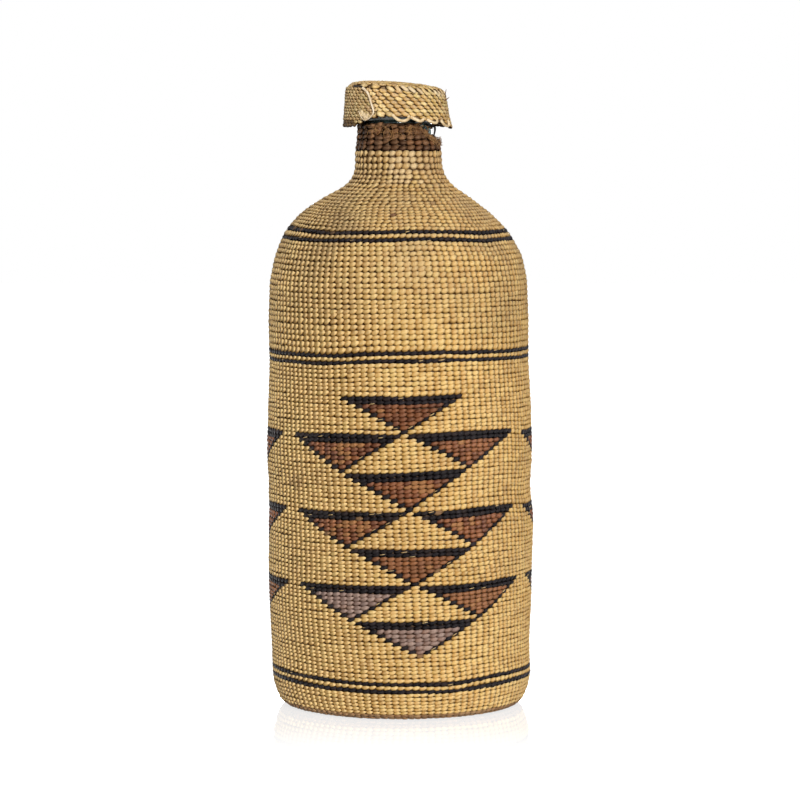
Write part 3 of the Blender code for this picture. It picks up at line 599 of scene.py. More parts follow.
# dirt and repairs: degrees round, height, degrees, rise, amount, with lengths in mm
stains = (
    (-1.2, 196.7, 2.8, 0.9, 1.8), (11, 204, 3, 1, 0.6), (28, 201, 3, 1, 0.8), (-54, 91.5, 5, 3.5, 0.5),
    (52, 86.5, 3.5, 2, 0.4), (30, 215.5, 12, 1.6, 0.6),
)
# the neck is worn down on its right: degrees round, height that is left in mm
wornEdge = (
    (18, 233), (26, 231.5), (33, 230.2), (39, 228.9), (47, 227.3), (63, 226), (80, 224.9), (125, 226.2),
    (150, 231.1), (160, 233),
)


def degreesOf(turn):
    return (np.degrees(turn) + 180) % 360 - 180


def farFrom(spot, degrees, height):
    return ((degrees - spot[0]) / spot[2]) ** 2 + ((height - mm * spot[1]) / (mm * spot[3])) ** 2


def stainAt(degrees, height):
    for spot in stains:
        if farFrom(spot, degrees, height) < uniform(0.3, 1.2):
            return -spot[4] * uniform(0.5, 1.2)
    return 0.0


def paleAt(degrees, height):
    share = max([0.015] + [spot[4] for spot in paleSpots if farFrom(spot, degrees, height) < 1.0])
    return 1.0 if chanceOf() < share else 0.0


# which piece a stitch of the figured wall belongs to
def figureStitch(course, stitch):
    half = figure["repeat"] // 2
    motif, place = divmod(stitch + half, figure["repeat"])
    place -= half
    row, down = divmod(course, figure["rows"])
    left = figure["rows"] - 1 - down
    for number, side in enumerate((0,) if row % 2 == 0 else (-figure["side"], figure["side"])):
        if abs(place - side) > left:
            continue
        bar = down < figure["bar"]
        edge = 0
        if place - side == left and left and not bar:
            edge = 1
        elif place - side == left - 1 and not bar:
            edge = 2
        black = bar or abs(place - side) == left
        part = "black" if black else f"{1 + row + row // 2 + number:02d}"
        return motif % figure["motifs"] + 1, part, row, side, edge
    return None


def wornHeight(turn):
    return mm * float(lookUp(wornEdge, degreesOf(turn)))


def stitchSize(s):
    radius = np.interp(s, coverOutline["s"], coverOutline["r"])
    size = mm * lookUp(stitchWidths, radius / mm)
    if s > sAtHeight(cover["brownFrom"]):
        size = neckStitch
    elif s < 0.05:
        size = baseStitch
    return radius, size


def neighbours(angles):
    before, after = np.roll(angles, 1), np.roll(angles, -1)
    before[0] -= tau
    after[-1] += tau
    return before, after


# width of a stitch where the cover has this radius, in mm
stitchWidths = ((16.5, 2.40), (17.2, 2.22), (18.2, 2.12), (22, 2.22), (30, 2.36), (47, 2.50), (53, 2.92))
neckStitch, baseStitch = 2.8 * mm, 2.58 * mm


# warps: their angles course by course, starting from the wall and thinned towards base and neck
def layWarps():
    count = cover["warps"]
    flat = [(zone, low, high) for zone in zones for low, high in zone["courses"]]
    figureStart = sAtHeight(figureTops[-1])
    first = next(i for i, (zone, low, high) in enumerate(flat) if low >= figureStart - 1e-6)
    topCourse = first + figure["courses"] - 1
    angles = {}
    base = np.arange(count) * tau / count
    # the wall keeps all its warps
    nodes = [zone["node"] for zone, _, _ in flat]
    wallLow, wallHigh = nodes.index("foot_twining"), nodes.index("shoulder_twining")
    wander = normal(0.0, cover["wander"], count)
    for index in range(wallLow, wallHigh):
        wander = 0.88 * wander + normal(0.0, cover["wander"] * 0.5, count)
        angles[index] = cover["motifTurn"] + cover["lean"] * (topCourse - index) + base + wander
    for order, lean, current in (
        (range(wallLow - 1, -1, -1), cover["lean"], angles[wallLow]),
        (range(wallHigh, len(flat)), -cover["lean"], angles[wallHigh - 1]),
    ):
        for index in order:
            _, low, high = flat[index]
            radius, size = stitchSize(0.5 * (low + high))
            drop = len(current) - max(5, round(tau * radius / size))
            if drop > 0:
                step = len(current) / drop
                lost = np.arange(drop) * step + uniform(0, step) + uniform(-0.25, 0.25, drop) * step
                current = np.delete(current, np.unique(lost.astype(int) % len(current)))
            for _ in range(3):
                current = current + 0.5 * (0.5 * sum(neighbours(current)) - current)
            current = current + lean
            angles[index] = current.copy()
    return flat, angles, topCourse


flatCourses, warpAngles, topCourse = layWarps()
print("warps laid:", len(flatCourses), "courses")


def spreadOut(angles, share):
    degrees = np.degrees(angles)
    turned = np.floor((degrees + 180) / 360) * 360
    return angles + share * np.radians(lookUp(neckSpread, degrees - turned) + turned - degrees)


def bulgeAt(number, degrees, height):
    around, up = bulges[number]
    return radians(lookUp(around, degrees) * lookUp(up, height / mm))


stitchRows, slivers = {}, {}
neckFrom, neckOver = 0.194, 0.012
for index, (zone, low, high) in enumerate(flatCourses):
    turns = warpAngles[index]
    before, after = neighbours(turns)
    middle = 0.5 * (low + high)
    radius, height = (float(np.interp(middle, coverOutline["s"], coverOutline[key])) for key in ("r", "z"))
    if height > neckFrom:
        share = min(1.0, (height - neckFrom) / neckOver)
        before, turns, after = (spreadOut(angles, share) for angles in (before, turns, after))
    starts, ends = 0.5 * (before + turns), 0.5 * (turns + after)
    sway = 0.0 * turns
    if height > 3 * mm:
        sway = sum(0.07 * mm * np.sin(turns * times + uniform(0, tau)) for times in (3, 5, 8, 13))
    course = topCourse - index
    stray = radians(lookUp(strays, height / mm))
    for stitch in range(len(turns)):
        turn = 0.5 * (starts[stitch] + ends[stitch])
        turn += stray + bulgeAt(0, np.degrees(turn), height)
        turn += bulgeAt(1, np.degrees(turn), height)
        degrees = degreesOf(turn)
        turn += bulgeAt(2, degrees, height)
        wide = radius * (ends[stitch] - starts[stitch])
        node, dye, figureEdge = zone["node"], zone["dye"], 0
        pale = stainAt(degrees, height)
        inFigures = node == "figured_twining" and 0 <= course < figure["courses"]
        found = figureStitch(course, stitch) if inFigures else None
        if found:
            motif, part, row, side, figureEdge = found
            pale = paleAt(degrees, height)
            if part == "black":
                node, dye = f"black_figure_{motif}", "blackStem"
                pale = pale if chanceOf() < cover["dyedLess"] else 0.0
            else:
                node = f"brown_fill_{motif}_{part}"
                dye = "fadedStem" if row == 6 or (row == 5 and side < 0) else "brownStem"
                pale = pale or fillTones.get((row, side), 0.0)
        brown = node == "neck_brown_courses"
        if brown and height + uniform(-0.0009, 0.0009) > wornHeight(turn):
            continue
        tall = (high - low) * normal(1.0, 0.05)
        tilt = normal(0.0, 0.05)
        thick = normal(1.0, 0.09) * lookUp(thickness, height / mm)
        long = wide * normal(1.0, 0.04)
        slide, slope = normal(0.0, 0.02) * wide, 0.0
        if figureEdge == 1:
            # the right edge of a figure is a thin slanting line
            long, slide, slope, tall = 0.78 * long, slide + 0.10 * wide, 0.30, 0.90 * tall
        elif figureEdge == 2:
            long, slide = 1.12 * long, slide + 0.07 * wide
        # painted highlight: in front of the neck some stitches are painted paler; round the sides they are darker
        if node == "neck_straw_courses":
            inFront = -18 < degrees < 38
            pale = choice((0.0, 0.0, 0.35, 0.6)) if inFront else -uniform(0.0, 0.22)
            thick *= uniform(0.85, 1.2)
        if node.startswith("high_black") and -100 < degrees < -32:
            tall, pale = 0.84 * tall, 0.45 if chanceOf() < 0.22 else 0.0
        if brown and -110 < degrees < -48:
            pale = -uniform(0.3, 0.8)
        if brown and height > cover["looseFrom"]:
            tilt, tall = normal(0.0, 0.22), tall * normal(1.0, 0.12)
        stitchRows.setdefault((node, dye), []).append((
            turn + slide / radius, middle + sway[stitch] + normal(0.0, 0.00005),
            long, wide * tilt + slope * tall, -tall * tilt, tall * 1.03,
            thick, normal(0.0, 0.00005), chanceOf(), pale, chanceOf(),
        ))
        if dye == "blackStem" and chanceOf() < cover["sliverShare"][not found]:
            # a sliver of straw shows beside the dyed strand
            slivers.setdefault(node, []).append((
                turn, middle + sway[stitch] + uniform(-0.4, 0.4) * tall, 0.62 * long, (0.15 + slope) * tall,
                -0.1 * tall, 0.15 * tall, 0.4, 0.00002, chanceOf(), 0.3, chanceOf(),
            ))


def addTwining(name, rows, dye, nodes):
    mesh = layStraps(name, stitchStrap, coverOutline, rows, ride)
    addPiece(name, mesh, materials[dye], "root", nodes)


for (node, dye), rows in stitchRows.items():
    if len(rows) <= cover["splitAt"]:
        addTwining(f"{node}_stitches", rows, dye, (node,))
        continue
    for number, side in enumerate(("front", "right", "back", "left")):
        chosen = [row for row in rows if int((np.degrees(row[0]) + 45) % 360 // 90) == number]
        addTwining(f"{node}_stitches_{side}", chosen, dye, (node,))
for node, rows in slivers.items():
    addTwining(f"{node}_slivers", rows, "straw", ())
print("stitches laid:", sum(len(rows) for rows in stitchRows.values()))


# turns a line of radius and height round the middle
def spinLine(points, steps):
    shape = bmesh.new()
    verts = [shape.verts.new((radius, 0.0, height)) for radius, height in points]
    edges = [shape.edges.new(pair) for pair in zip(verts, verts[1:])]
    bmesh.ops.spin(
        shape, geom=verts + edges, cent=(0, 0, 0), axis=(0, 0, 1), dvec=(0, 0, 0), angle=tau,
        steps=steps, use_merge=True, use_duplicate=False,
    )
    bmesh.ops.remove_doubles(shape, verts=shape.verts, dist=1e-6)
    return shape


def outlinePath(outline, picks, out):
    return [(x, z) for x, _, z in onOutline(outline, 0.5 * pi, picks, out)]


def turnOf(place):
    return atan2(place.x, -place.y)


# warp wall behind the stitches
wall = {"depth": 0.9 * mm, "rib": 0.22 * mm, "steps": 228, "thick": 1.0 * mm, "courseRise": 1.62 * mm}


def makeWarpWall():
    top = coverOutline["s"][-1] - 1.2 * mm
    start = cover["wallStart"]
    picks = np.concatenate([np.arange(0.0, start, 2.3 * mm), np.arange(start, top, 1.6 * mm), [top]])
    path = outlinePath(straightOutline, picks, -wall["depth"])
    path[0] = (0.0, path[0][1])
    shape = spinLine(path, wall["steps"])
    for vertex in shape.verts:
        distance = hypot(vertex.co.x, vertex.co.y)
        if distance < 3 * mm:
            continue
        lean = cover["motifTurn"] + cover["lean"] * (figureTops[0] - vertex.co.z) / wall["courseRise"]
        rib = wall["rib"] * cos(cover["warps"] * (turnOf(vertex.co) - lean)) * min(1.0, distance / 0.04)
        vertex.co.x += rib * vertex.co.x / distance
        vertex.co.y += rib * vertex.co.y / distance
    middles = [(face, face.calc_center_median()) for face in shape.faces]
    gone = [face for face, middle in middles if middle.z > 0.2 and middle.z - 0.6 * mm > wornHeight(turnOf(middle))]
    bmesh.ops.delete(shape, geom=gone, context="FACES")
    leanOver(shape)
    bmesh.ops.recalc_face_normals(shape, faces=shape.faces)
    inside = Vector((0, 0, 0.1))
    if sum(face.normal.dot(face.calc_center_median() - inside) for face in shape.faces) < 0:
        bmesh.ops.reverse_faces(shape, faces=shape.faces)
    bmesh.ops.solidify(shape, geom=shape.faces[:], thickness=wall["thick"])
    return meshFrom(shape, "warp_wall")


def makeWarpMaterial():
    material, nodes, shader = newMaterial("warpRoot")
    where = nodes.place()
    grain = nodes.noise(nodes.scaled(where, (900.0, 900.0, 90.0)), 1.0)
    colour = nodes.ramp(grain, (0.3, (0.060, 0.028, 0.011)), (0.7, (0.150, 0.080, 0.034)))
    colour = nodes.mix(nodes.span(nodes.noise(where, 60.0), 0.4, 0.7, 0.0, 0.5), colour, (0.090, 0.044, 0.018))
    dress(nodes, shader, colour, nodes.span(grain, 0.3, 0.7, 0.65, 0.85), grain, 0.0002)
    return material


addPiece("warp_wall", makeWarpWall(), makeWarpMaterial(), "root", ("root_warps",))
print("warp wall ready")


# bottle and cork

bottle = {
    "wall": 3.0 * mm, "sunk": 2.9 * mm, "lipBase": 0.2321, "lipRadius": 0.0154, "lipHeight": 0.0110, "bore": 0.0094,
    "steps": 96,
    # punt under the base, and its other side inside: radius and height, in mm
    "punt": ((0, 15), (17, 12.8), (30, 4), (36, 3.4), (42, 3.6)),
    "puntInside": ((42, 0.4), (30, 0), (17, 9), (0, 12)),
    # lip: how far in from its radius and how far up from its base, then how far out from the bore and down, in mm
    "lip": ((1.8, 0), (0.6, 0.5), (0, 1.8), (0.1, 4), (0.4, 7), (0.9, 9.4), (1.9, 10.6), (3.2, 11)),
    "mouth": ((1.4, 0), (0.4, 0.4), (0, 1.6)),
    # painted highlights on the lip and the neck: across, height, half sizes, in mm, and strength
    "paintedGlints": (
        (-4.5, 233.8, 4, 0.6, 0.55), (2.2, 233.5, 1.6, 0.5, 0.35), (6.8, 232, 1, 0.5, 0.85),
        (8.9, 231.1, 0.8, 0.5, 0.85), (10.3, 230.7, 0.5, 1, 0.80), (10.7, 233.3, 1.2, 1, 0.45),
        (11.2, 228.5, 0.4, 1.4, 0.50), (-14.2, 232.6, 1, 1.2, 0.70),
    ),
}


def spun(name, points, steps):
    shape = spinLine(points, steps)
    bmesh.ops.recalc_face_normals(shape, faces=shape.faces)
    leanOver(shape)
    return meshFrom(shape, name)


def makeBottle():
    end = coverOutline["s"][-1]
    s = np.concatenate([np.arange(0.049, end - 2 * mm, 3 * mm), [end - mm]])
    outside = outlinePath(straightOutline, s, -bottle["sunk"])
    inner = outlinePath(straightOutline, s, -bottle["sunk"] - bottle["wall"])
    inside = [(max(x, bottle["bore"]), z) for x, z in inner]
    base, top, neck = bottle["lipBase"], bottle["lipBase"] + bottle["lipHeight"], outside[-1][0]
    floor = bottle["sunk"] + bottle["wall"]
    profile = [(mm * x, mm * z) for x, z in bottle["punt"]] + outside
    profile += [(neck, base - 0.4 * mm), (neck + 0.4 * mm, base)]
    profile += [(bottle["lipRadius"] - mm * x, base + mm * z) for x, z in bottle["lip"]]
    profile += [(bottle["bore"] + mm * x, top - mm * z) for x, z in bottle["mouth"]]
    profile += inside[::-1] + [(mm * x, floor + mm * z) for x, z in bottle["puntInside"]]
    return spun("bottle_glass", profile, bottle["steps"])


def makeGlass():
    material, nodes, shader = newMaterial("bottleGlass")
    where = nodes.place()
    seed = nodes.noise(where, 140.0, 2.0)
    colour = nodes.ramp(seed, (0.3, (0.030, 0.060, 0.055)), (0.7, (0.060, 0.105, 0.098)))
    x, y, z = nodes.parts(where)
    front = nodes.math("LESS_THAN", y, 0.0)
    # painted highlights: pale spots on the front of the glass
    for across, height, wide, tall, strength in bottle["paintedGlints"]:
        far = [
            nodes.math("POWER", nodes.math("DIVIDE", nodes.minus(axis, mm * middle), mm * size), 2.0)
            for axis, middle, size in ((x, across, wide), (z, height, tall))
        ]
        paintedGlint = nodes.times(nodes.minus(1.0, nodes.plus(*far), clamp=True), front)
        colour = nodes.mix(nodes.times(paintedGlint, strength), colour, (0.80, 0.88, 0.86))
    ripple = nodes.noise(nodes.scaled(where, (60.0, 60.0, 220.0)), 1.0, 2.0)
    dress(nodes, shader, colour, nodes.span(seed, 0.3, 0.7, 0.04, 0.12), ripple, 0.0004, 0.5)
    nodes.put(0.55, shader["Transmission Weight"])
    nodes.put(1.5, shader["IOR"])
    return material


def makeCorkMaterial():
    material, nodes, shader = newMaterial("corkBark")
    where = nodes.place()
    cell = nodes.add("TexVoronoi", {"Vector": where, "Scale": 900.0}).outputs["Distance"]
    pit = nodes.noise(nodes.scaled(where, (500.0, 500.0, 220.0)), 1.0, 4.0)
    tone = nodes.plus(nodes.times(cell, 0.4), nodes.times(pit, 0.8))
    colour = nodes.ramp(tone, (0.3, (0.10, 0.050, 0.022)), (0.45, (0.34, 0.20, 0.10)), (0.8, (0.52, 0.34, 0.19)))
    dress(nodes, shader, colour, nodes.span(pit, 0.3, 0.7, 0.95, 0.7), tone, 0.0004)
    return material


addPiece("bottle_glass", makeBottle(), makeGlass(), "root", ("glass_bottle",))
corkLow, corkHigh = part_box("cork_stopper")
corkLine = [(mm * x, corkHigh.z - mm * z) for x, z in ((0, 0), (7.8, 0), (8.7, 0.3), (9.1, 1.1), (9.1, 4))]
corkLine += [(mm * x, corkLow.z + mm * z) for x, z in ((8.5, 1.2), (8.1, 0.3), (7.4, 0), (0, 0))]
addPiece("cork_plug", spun("cork_plug", corkLine, 64), makeCorkMaterial(), "stopper", ("cork_stopper",))
print("bottle and cork ready")


# cap, with its outline as radius and height in mm

cap = {
    "hemCentre": -0.35 * mm, "topCentre": -1.1 * mm,      # it sits a little to the left
    "slump": 0.072, "slumpFrom": -4 * mm,                 # its top falls away to the right of this line
    "hem": 0.2306, "top": 0.2456, "shoulder": 0.2452, "foot": 0.2300,
    "outline": (
        (21.7, 227), (21.3, 230.6), (20.6, 236), (20.1, 241), (19.6, 244.4), (18.6, 246.6), (16.8, 247.6), (12, 248.3),
        (6, 248.7), (0, 248.8),
    ),
    "smoothing": 0.8 * mm,
    # rise of the hem: degrees round, mm
    "hemRise": (
        (-180, 0.9), (-97, 1.7), (-60, 1.8), (-43, 3.6), (-7, 4), (20, 3), (40, 2), (58, 1.6), (70, 0.6), (80, -0.4),
        (95, -0.2), (110, 0.4), (180, 0.9),
    ),
}
# each row of the plait stands a little further round than the one below
plait = {"rowShift": -0.44, "fall": 0.14}
# the strip's tail, with its edge as share of a turn and share of the band's height
tail = {
    "edge": (
        (-0.33, 0.04), (-0.148, 0.04), (-0.126, 0.10), (-0.102, 0.15), (-0.085, 0.21), (-0.071, 0.37), (-0.078, 0.60),
        (-0.085, 0.81), (-0.096, 0.90), (-0.118, 0.96), (-0.33, 0.97),
    ),
    # the tail's straps are all painted darker as painted shade, and those of its lower left edge darker still
    "lift": 1.0 * mm, "cell": 2.3 * mm, "pitch": 1.12 * mm, "thick": 1.15, "paintedShade": -0.30,
    "darkenedBelow": 0.2326, "darkenedLeft": radians(-52), "darkened": -0.95,
    # the folded corner: share of a turn, share of the height, then the strand along and across, in mm
    "corner": (
        (-0.116, 0.33, 1.8, -2.6, 1.4, 1.0), (-0.106, 0.27, 1.2, -2.8, 1.3, 0.6), (-0.096, 0.26, -1.6, -2.4, 1.2, -0.8),
    ),
    "selvage": (
        (-0.113, 0.93), (-0.103, 0.90), (-0.093, 0.84), (-0.0865, 0.75), (-0.082, 0.64), (-0.077, 0.51), (-0.071, 0.39),
        (-0.073, 0.29), (-0.086, 0.19), (-0.101, 0.13), (-0.112, 0.19), (-0.119, 0.28), (-0.124, 0.37),
    ),
}
rim = {"around": 40, "across": 3.1 * mm, "drop": -3.3 * mm, "rolled": (-68, -14)}
# hem: strands that fold back under it, and ribbons that hang in loops at its front, across and height in mm
hem = {
    "step": 4.0 * mm, "radius": 21.3 * mm, "open": (-8, 76), "tailEnd": (-54, -44), "lift": 0.6 * mm,
    "ribbons": (
        ((-2.5, 235.1), (-1.3, 233.4), (1.1, 232.5), (3.1, 233), (4.2, 234), (3.8, 234.9)),
        ((4.5, 234.4), (6.2, 233.7), (7.9, 232.5), (9.3, 232.8), (9.8, 233.8)),
        ((11.3, 233.4), (13, 232.2), (14.5, 231.8), (15.3, 232.6), (15.2, 233.6)),
        ((16.8, 233.4), (17.3, 231.6), (18.4, 230.8), (19.5, 230.6), (19.9, 231.8), (19.6, 233.4)),
    ),
}
capOutline = makeOutline(cap["outline"], cap["smoothing"], False)


def capS(height):
    return float(np.interp(height, capOutline["z"], capOutline["s"]))


bandLow, bandHigh, rimS = capS(cap["hem"]), capS(cap["top"]), capS(cap["shoulder"])


def bandS(up):
    return bandLow + up * (bandHigh - bandLow)


def hemS(turn):
    return bandLow + mm * lookUp(cap["hemRise"], np.degrees(turn), period=360) + 0.3 * mm * abs(sin(6 * turn))


# moves the cap to where it sits and lets it slump
def slumped(x, y, z):
    share = np.clip((z - cap["hem"]) / (cap["top"] - cap["hem"]), 0.0, 1.0)
    shift = cap["hemCentre"] + share * (cap["topCentre"] - cap["hemCentre"])
    return x + shift, y, z - cap["slump"] * share * (x - cap["slumpFrom"])


def seated(mesh):
    for vertex in mesh.vertices:
        vertex.co = slumped(*vertex.co)
    return mesh


def strapRow(turn, s, alongX, alongUp, acrossX, acrossUp, thick=1.0, lift=0.0, pale=0.0):
    return (
        turn, s, alongX, alongUp, acrossX, acrossUp, thick * normal(1.0, 0.08),
        lift + normal(0.0, 0.00006), chanceOf(), pale, chanceOf(),
    )


# plaiting in two slanting directions
def plaitRows(startS, endS, pitch, cell, keep, lift=0.0, thick=1.0, paintedShade=0.0):
    rows = []
    level, s = 0, startS
    while s < endS:
        radius = float(np.interp(s, capOutline["s"], capOutline["r"]))
        around = max(4, int(round(tau * radius / cell)))
        size = tau * radius / around
        for number in range(around):
            turn = (number + plait["rowShift"] * level + normal(0.0, 0.03)) * tau / around
            turn = (turn + pi) % tau - pi
            if not keep(turn, s):
                continue
            grow = normal(1.0, 0.05)
            rows.append(strapRow(
                turn, s + plait["fall"] * (turn / tau) * cell, 1.02 * size * grow, normal(-0.06, 0.09) * pitch,
                -0.10 * size, 1.02 * pitch * grow, thick, lift, paintedShade,
            ))
        level += 1
        s += pitch
    return rows


def insideTail(turn, s):
    across, up = turn / tau, (s - bandLow) / (bandHigh - bandLow)
    inside = False
    for (x0, y0), (x1, y1) in zip(tail["edge"], tail["edge"][1:] + tail["edge"][:1]):
        if (y0 > up) != (y1 > up) and across < x0 + (up - y0) * (x1 - x0) / (y1 - y0):
            inside = not inside
    return inside


def addPlait(name, strap, rows, nodes):
    mesh = seated(layStraps(name, strap, capOutline, rows))
    addPiece(name, mesh, materials["capStraw"], "cap", nodes)


bandRows = plaitRows(capS(0.2280), rimS, 1.52 * mm, 3.2 * mm, lambda turn, s: s > hemS(turn) + 0.8 * mm)
addPlait("cap_band_plait", plaitStrap, bandRows, ("cap_band",))

rimRows = []
for number in range(rim["around"]):
    turn = ((number + normal(0.0, 0.12)) * tau / rim["around"] + pi) % tau - pi
    size = uniform(0.80, 1.15)
    if rim["rolled"][0] < np.degrees(turn) < rim["rolled"][1]:
        if number % 2:
            rimRows.append(strapRow(
                turn, rimS + 0.0010, 0.0042 * size, 0.0004, -0.0004, 0.0024, 1.4, 0.0003, choice((0.0, 0.2))))
        continue
    rimRows.append(strapRow(
        turn, rimS + 0.0004 + normal(0.0, 0.0004), rim["across"] * size, rim["drop"] * uniform(0.8, 1.1),
        0.0013 * size, 0.0018, 1.4, 0.0003, choice((0.1, 0.2, 0.4, 0.6)),
    ))
    turn += 0.5 * tau / rim["around"]
    rimRows.append(strapRow(turn, rimS + 0.0026, 0.0021, -0.0017, 0.0012, 0.0015, 1.1, 0.0001))
addPlait("cap_rim_plait", flatStrap, rimRows, ("cap_rim",))

topRows = plaitRows(rimS + 2.8 * mm, capOutline["s"][-1] - 0.5 * mm, 1.5 * mm, 3.1 * mm, lambda turn, s: True)
addPlait("cap_top_plait", plaitStrap, topRows, ("cap_top",))

tailRows = plaitRows(
    capS(0.2290), capS(0.2460), tail["pitch"], tail["cell"], insideTail, tail["lift"], tail["thick"], tail["paintedShade"])
# its lower edge on the left is darker
tailRows = [
    row[:9] + (tail["darkened"],) + row[10:] if row[1] < capS(tail["darkenedBelow"]) and row[0] < tail["darkenedLeft"] else row
    for row in tailRows
]
for across, up, *strand in tail["corner"]:
    strand = [mm * length for length in strand]
    tailRows.append(strapRow(across * tau, bandS(up), *strand, 0.9, tail["lift"] + 0.3 * mm, 0.6))
addPlait("cap_tail_plait", plaitStrap, tailRows, ("cap_tail",))

hemRows = []
turn = -pi
while turn < pi:
    degrees = np.degrees(turn)
    if not any(low < degrees < high for low, high in (hem["open"], hem["tailEnd"])):
        size = uniform(0.85, 1.1)
        pale = -0.8 if degrees < hem["tailEnd"][0] else 0.1
        hemRows.append(strapRow(
            turn, hemS(turn) + 0.0006, 0.0034 * size, -0.0010 * size, 0.0003, 0.0020, 1.2, 0.0002, pale))
    turn += hem["step"] / hem["radius"] * uniform(0.85, 1.1)
addPlait("cap_hem_loops", flatStrap, hemRows, ())


# lining that closes the plait from inside
lining = {"inset": -0.8 * mm, "thick": 0.5 * mm, "steps": 96}


def makeLining():
    foot = capS(cap["foot"])
    picks = np.concatenate([np.linspace(foot, rimS, 9), np.linspace(capS(0.2465), capOutline["s"][-1], 8)])
    path = outlinePath(capOutline, picks, lining["inset"])
    path[-1] = (0.0, path[-1][1])
    shape = spinLine(path, lining["steps"])
    for vertex in shape.verts:
        s = capS(vertex.co.z)
        if s < rimS and hypot(vertex.co.x, vertex.co.y) > 0.017:
            turn = turnOf(vertex.co)
            end = hemS(turn) + 0.3 * mm
            vertex.co = onOutline(capOutline, turn, rimS + (end - rimS) * (rimS - s) / (rimS - foot), lining["inset"])
    bmesh.ops.recalc_face_normals(shape, faces=shape.faces)
    bmesh.ops.solidify(shape, geom=shape.faces[:], thickness=lining["thick"])
    return meshFrom(shape, "cap_lining")


def makeLiningMaterial():
    material, nodes, shader = newMaterial("capLining")
    where = nodes.place()
    grain = nodes.noise(nodes.scaled(where, (700.0, 700.0, 260.0)), 1.0, 4.0)
    weave = nodes.add("TexChecker", {"Vector": where, "Scale": 620.0}).outputs["Fac"]
    colour = nodes.ramp(grain, (0.3, (0.17, 0.095, 0.040)), (0.7, (0.36, 0.235, 0.115)))
    colour = nodes.mix(nodes.times(weave, 0.25), colour, (0.12, 0.065, 0.028))
    dress(nodes, shader, colour, nodes.span(grain, 0.3, 0.7, 0.6, 0.8), grain, 0.0003)
    return material


addPiece("cap_lining", seated(makeLining()), makeLiningMaterial(), "cap", ())


# thin fibres: each is a tube along its own points, and its size is a share of the thickness
def addFibres(name, lines, material, body, thick, taper=0.65):
    curve = bpy.data.curves.new(name, "CURVE")
    curve.dimensions = "3D"
    curve.bevel_depth = mm * thick
    curve.bevel_resolution = 1
    curve.use_fill_caps = True
    curve.resolution_u = 3
    for line, size in lines:
        spline = curve.splines.new("NURBS")
        spline.points.add(len(line) - 1)
        spline.order_u = 4
        spline.use_endpoint_u = True
        for number, (point, place) in enumerate(zip(spline.points, line)):
            point.co = (*place, 1.0)
            point.radius = size * (1.0 - taper * number / (len(line) - 1))
    draft = bpy.data.objects.new(name, curve)
    bpy.context.scene.collection.objects.link(draft)
    bpy.context.view_layer.update()
    mesh = bpy.data.meshes.new_from_object(draft.evaluated_get(bpy.context.evaluated_depsgraph_get()))
    bpy.data.objects.remove(draft)
    addPiece(name, mesh, material, body, ())


def fibreMaterial(name, dark, light):
    material, nodes, shader = newMaterial(name)
    where = nodes.place()
    grain = nodes.noise(where, 420.0, 4.0)
    colour = nodes.ramp(grain, (0.32, dark), (0.66, light))
    dress(nodes, shader, colour, nodes.span(grain, 0.3, 0.7, 0.45, 0.7), nodes.noise(where, 2600.0, 2.0), 0.0001, 0.6)
    return material


selvageLine = [
    slumped(*onOutline(capOutline, across * tau, bandS(up), tail["lift"] + 0.3 * mm))
    for across, up in tail["selvage"]
]
selvageStraw = fibreMaterial("selvageStraw", (0.62, 0.45, 0.26), (0.86, 0.72, 0.52))
addFibres("cap_selvage", [(selvageLine, 1.0)], selvageStraw, "cap", 0.56)
ribbonLines = []
for ribbon in hem["ribbons"]:
    line = []
    for x, z in ribbon:
        turn = np.arcsin((mm * x - cap["hemCentre"]) / (hem["radius"] + hem["lift"]))
        line.append(slumped(*onOutline(capOutline, turn, capS(mm * z), hem["lift"])))
    ribbonLines.append((line, uniform(0.9, 1.1)))
ribbonStraw = fibreMaterial("ribbonStraw", (0.54, 0.36, 0.16), (0.92, 0.74, 0.47))
addFibres("cap_hem_ribbons", ribbonLines, ribbonStraw, "cap", 0.66, 0.15)
print("cap ready")


# frayed ends round the worn neck
fringe = {"count": 110, "from": 14, "to": 150, "points": 6, "top": 0.2314, "thick": 0.10}
fringeLines = []
for number in range(fringe["count"]):
    degrees = uniform(fringe["from"], fringe["to"])
    slide = radians(uniform(6, 26)) * choice((1, 1, 1, -0.5))
    offset, drift = normal(-0.0006, 0.0008), uniform(-0.0022, 0.0004)
    bow = uniform(0.0002, 0.0009)
    line = []
    for part in np.linspace(0.0, 1.0, fringe["points"]):
        turn = radians(degrees) + slide * part
        height = min(wornHeight(turn), fringe["top"]) + offset + drift * part
        out = 0.0002 + bow * sin(pi * part) + normal(0.0, 0.00008)
        line.append(onOutline(coverOutline, turn, sAtHeight(height), out))
    fringeLines.append((line, uniform(0.6, 1.5)))
fringeRoot = fibreMaterial("fringeRoot", (0.13, 0.055, 0.018), (0.52, 0.28, 0.100))
addFibres("neck_fringe", fringeLines, fringeRoot, "root", fringe["thick"])

# curled ends on the brown courses: the first few are large and have their places
curls = {"count": 64, "height": 0.2292, "neck": 16.5 * mm, "placed": (-17, -12, -4, 0, 16), "large": 4, "points": 9}
curlLines = []
for number in range(curls["count"]):
    degrees = curls["placed"][number] if number < len(curls["placed"]) else uniform(-50, 46)
    s = sAtHeight(curls["height"]) + uniform(-0.0024, 0.0008)
    wide, tall = uniform(0.0010, 0.0024), uniform(0.0010, 0.0024)
    begin = uniform(0.15, 0.85) * pi
    sweep = choice((-1, 1)) * uniform(0.35, 0.9) * pi * (1.7 if number < curls["large"] else 1.0)
    line = []
    for part in np.linspace(0.0, 1.0, curls["points"]):
        angle = begin + sweep * part
        turn = radians(degrees) + wide * cos(angle) / curls["neck"]
        line.append(onOutline(coverOutline, turn, s + tall * sin(angle), 0.0002 + 0.0006 * sin(pi * part)))
    curlLines.append((line, uniform(0.8, 1.3)))
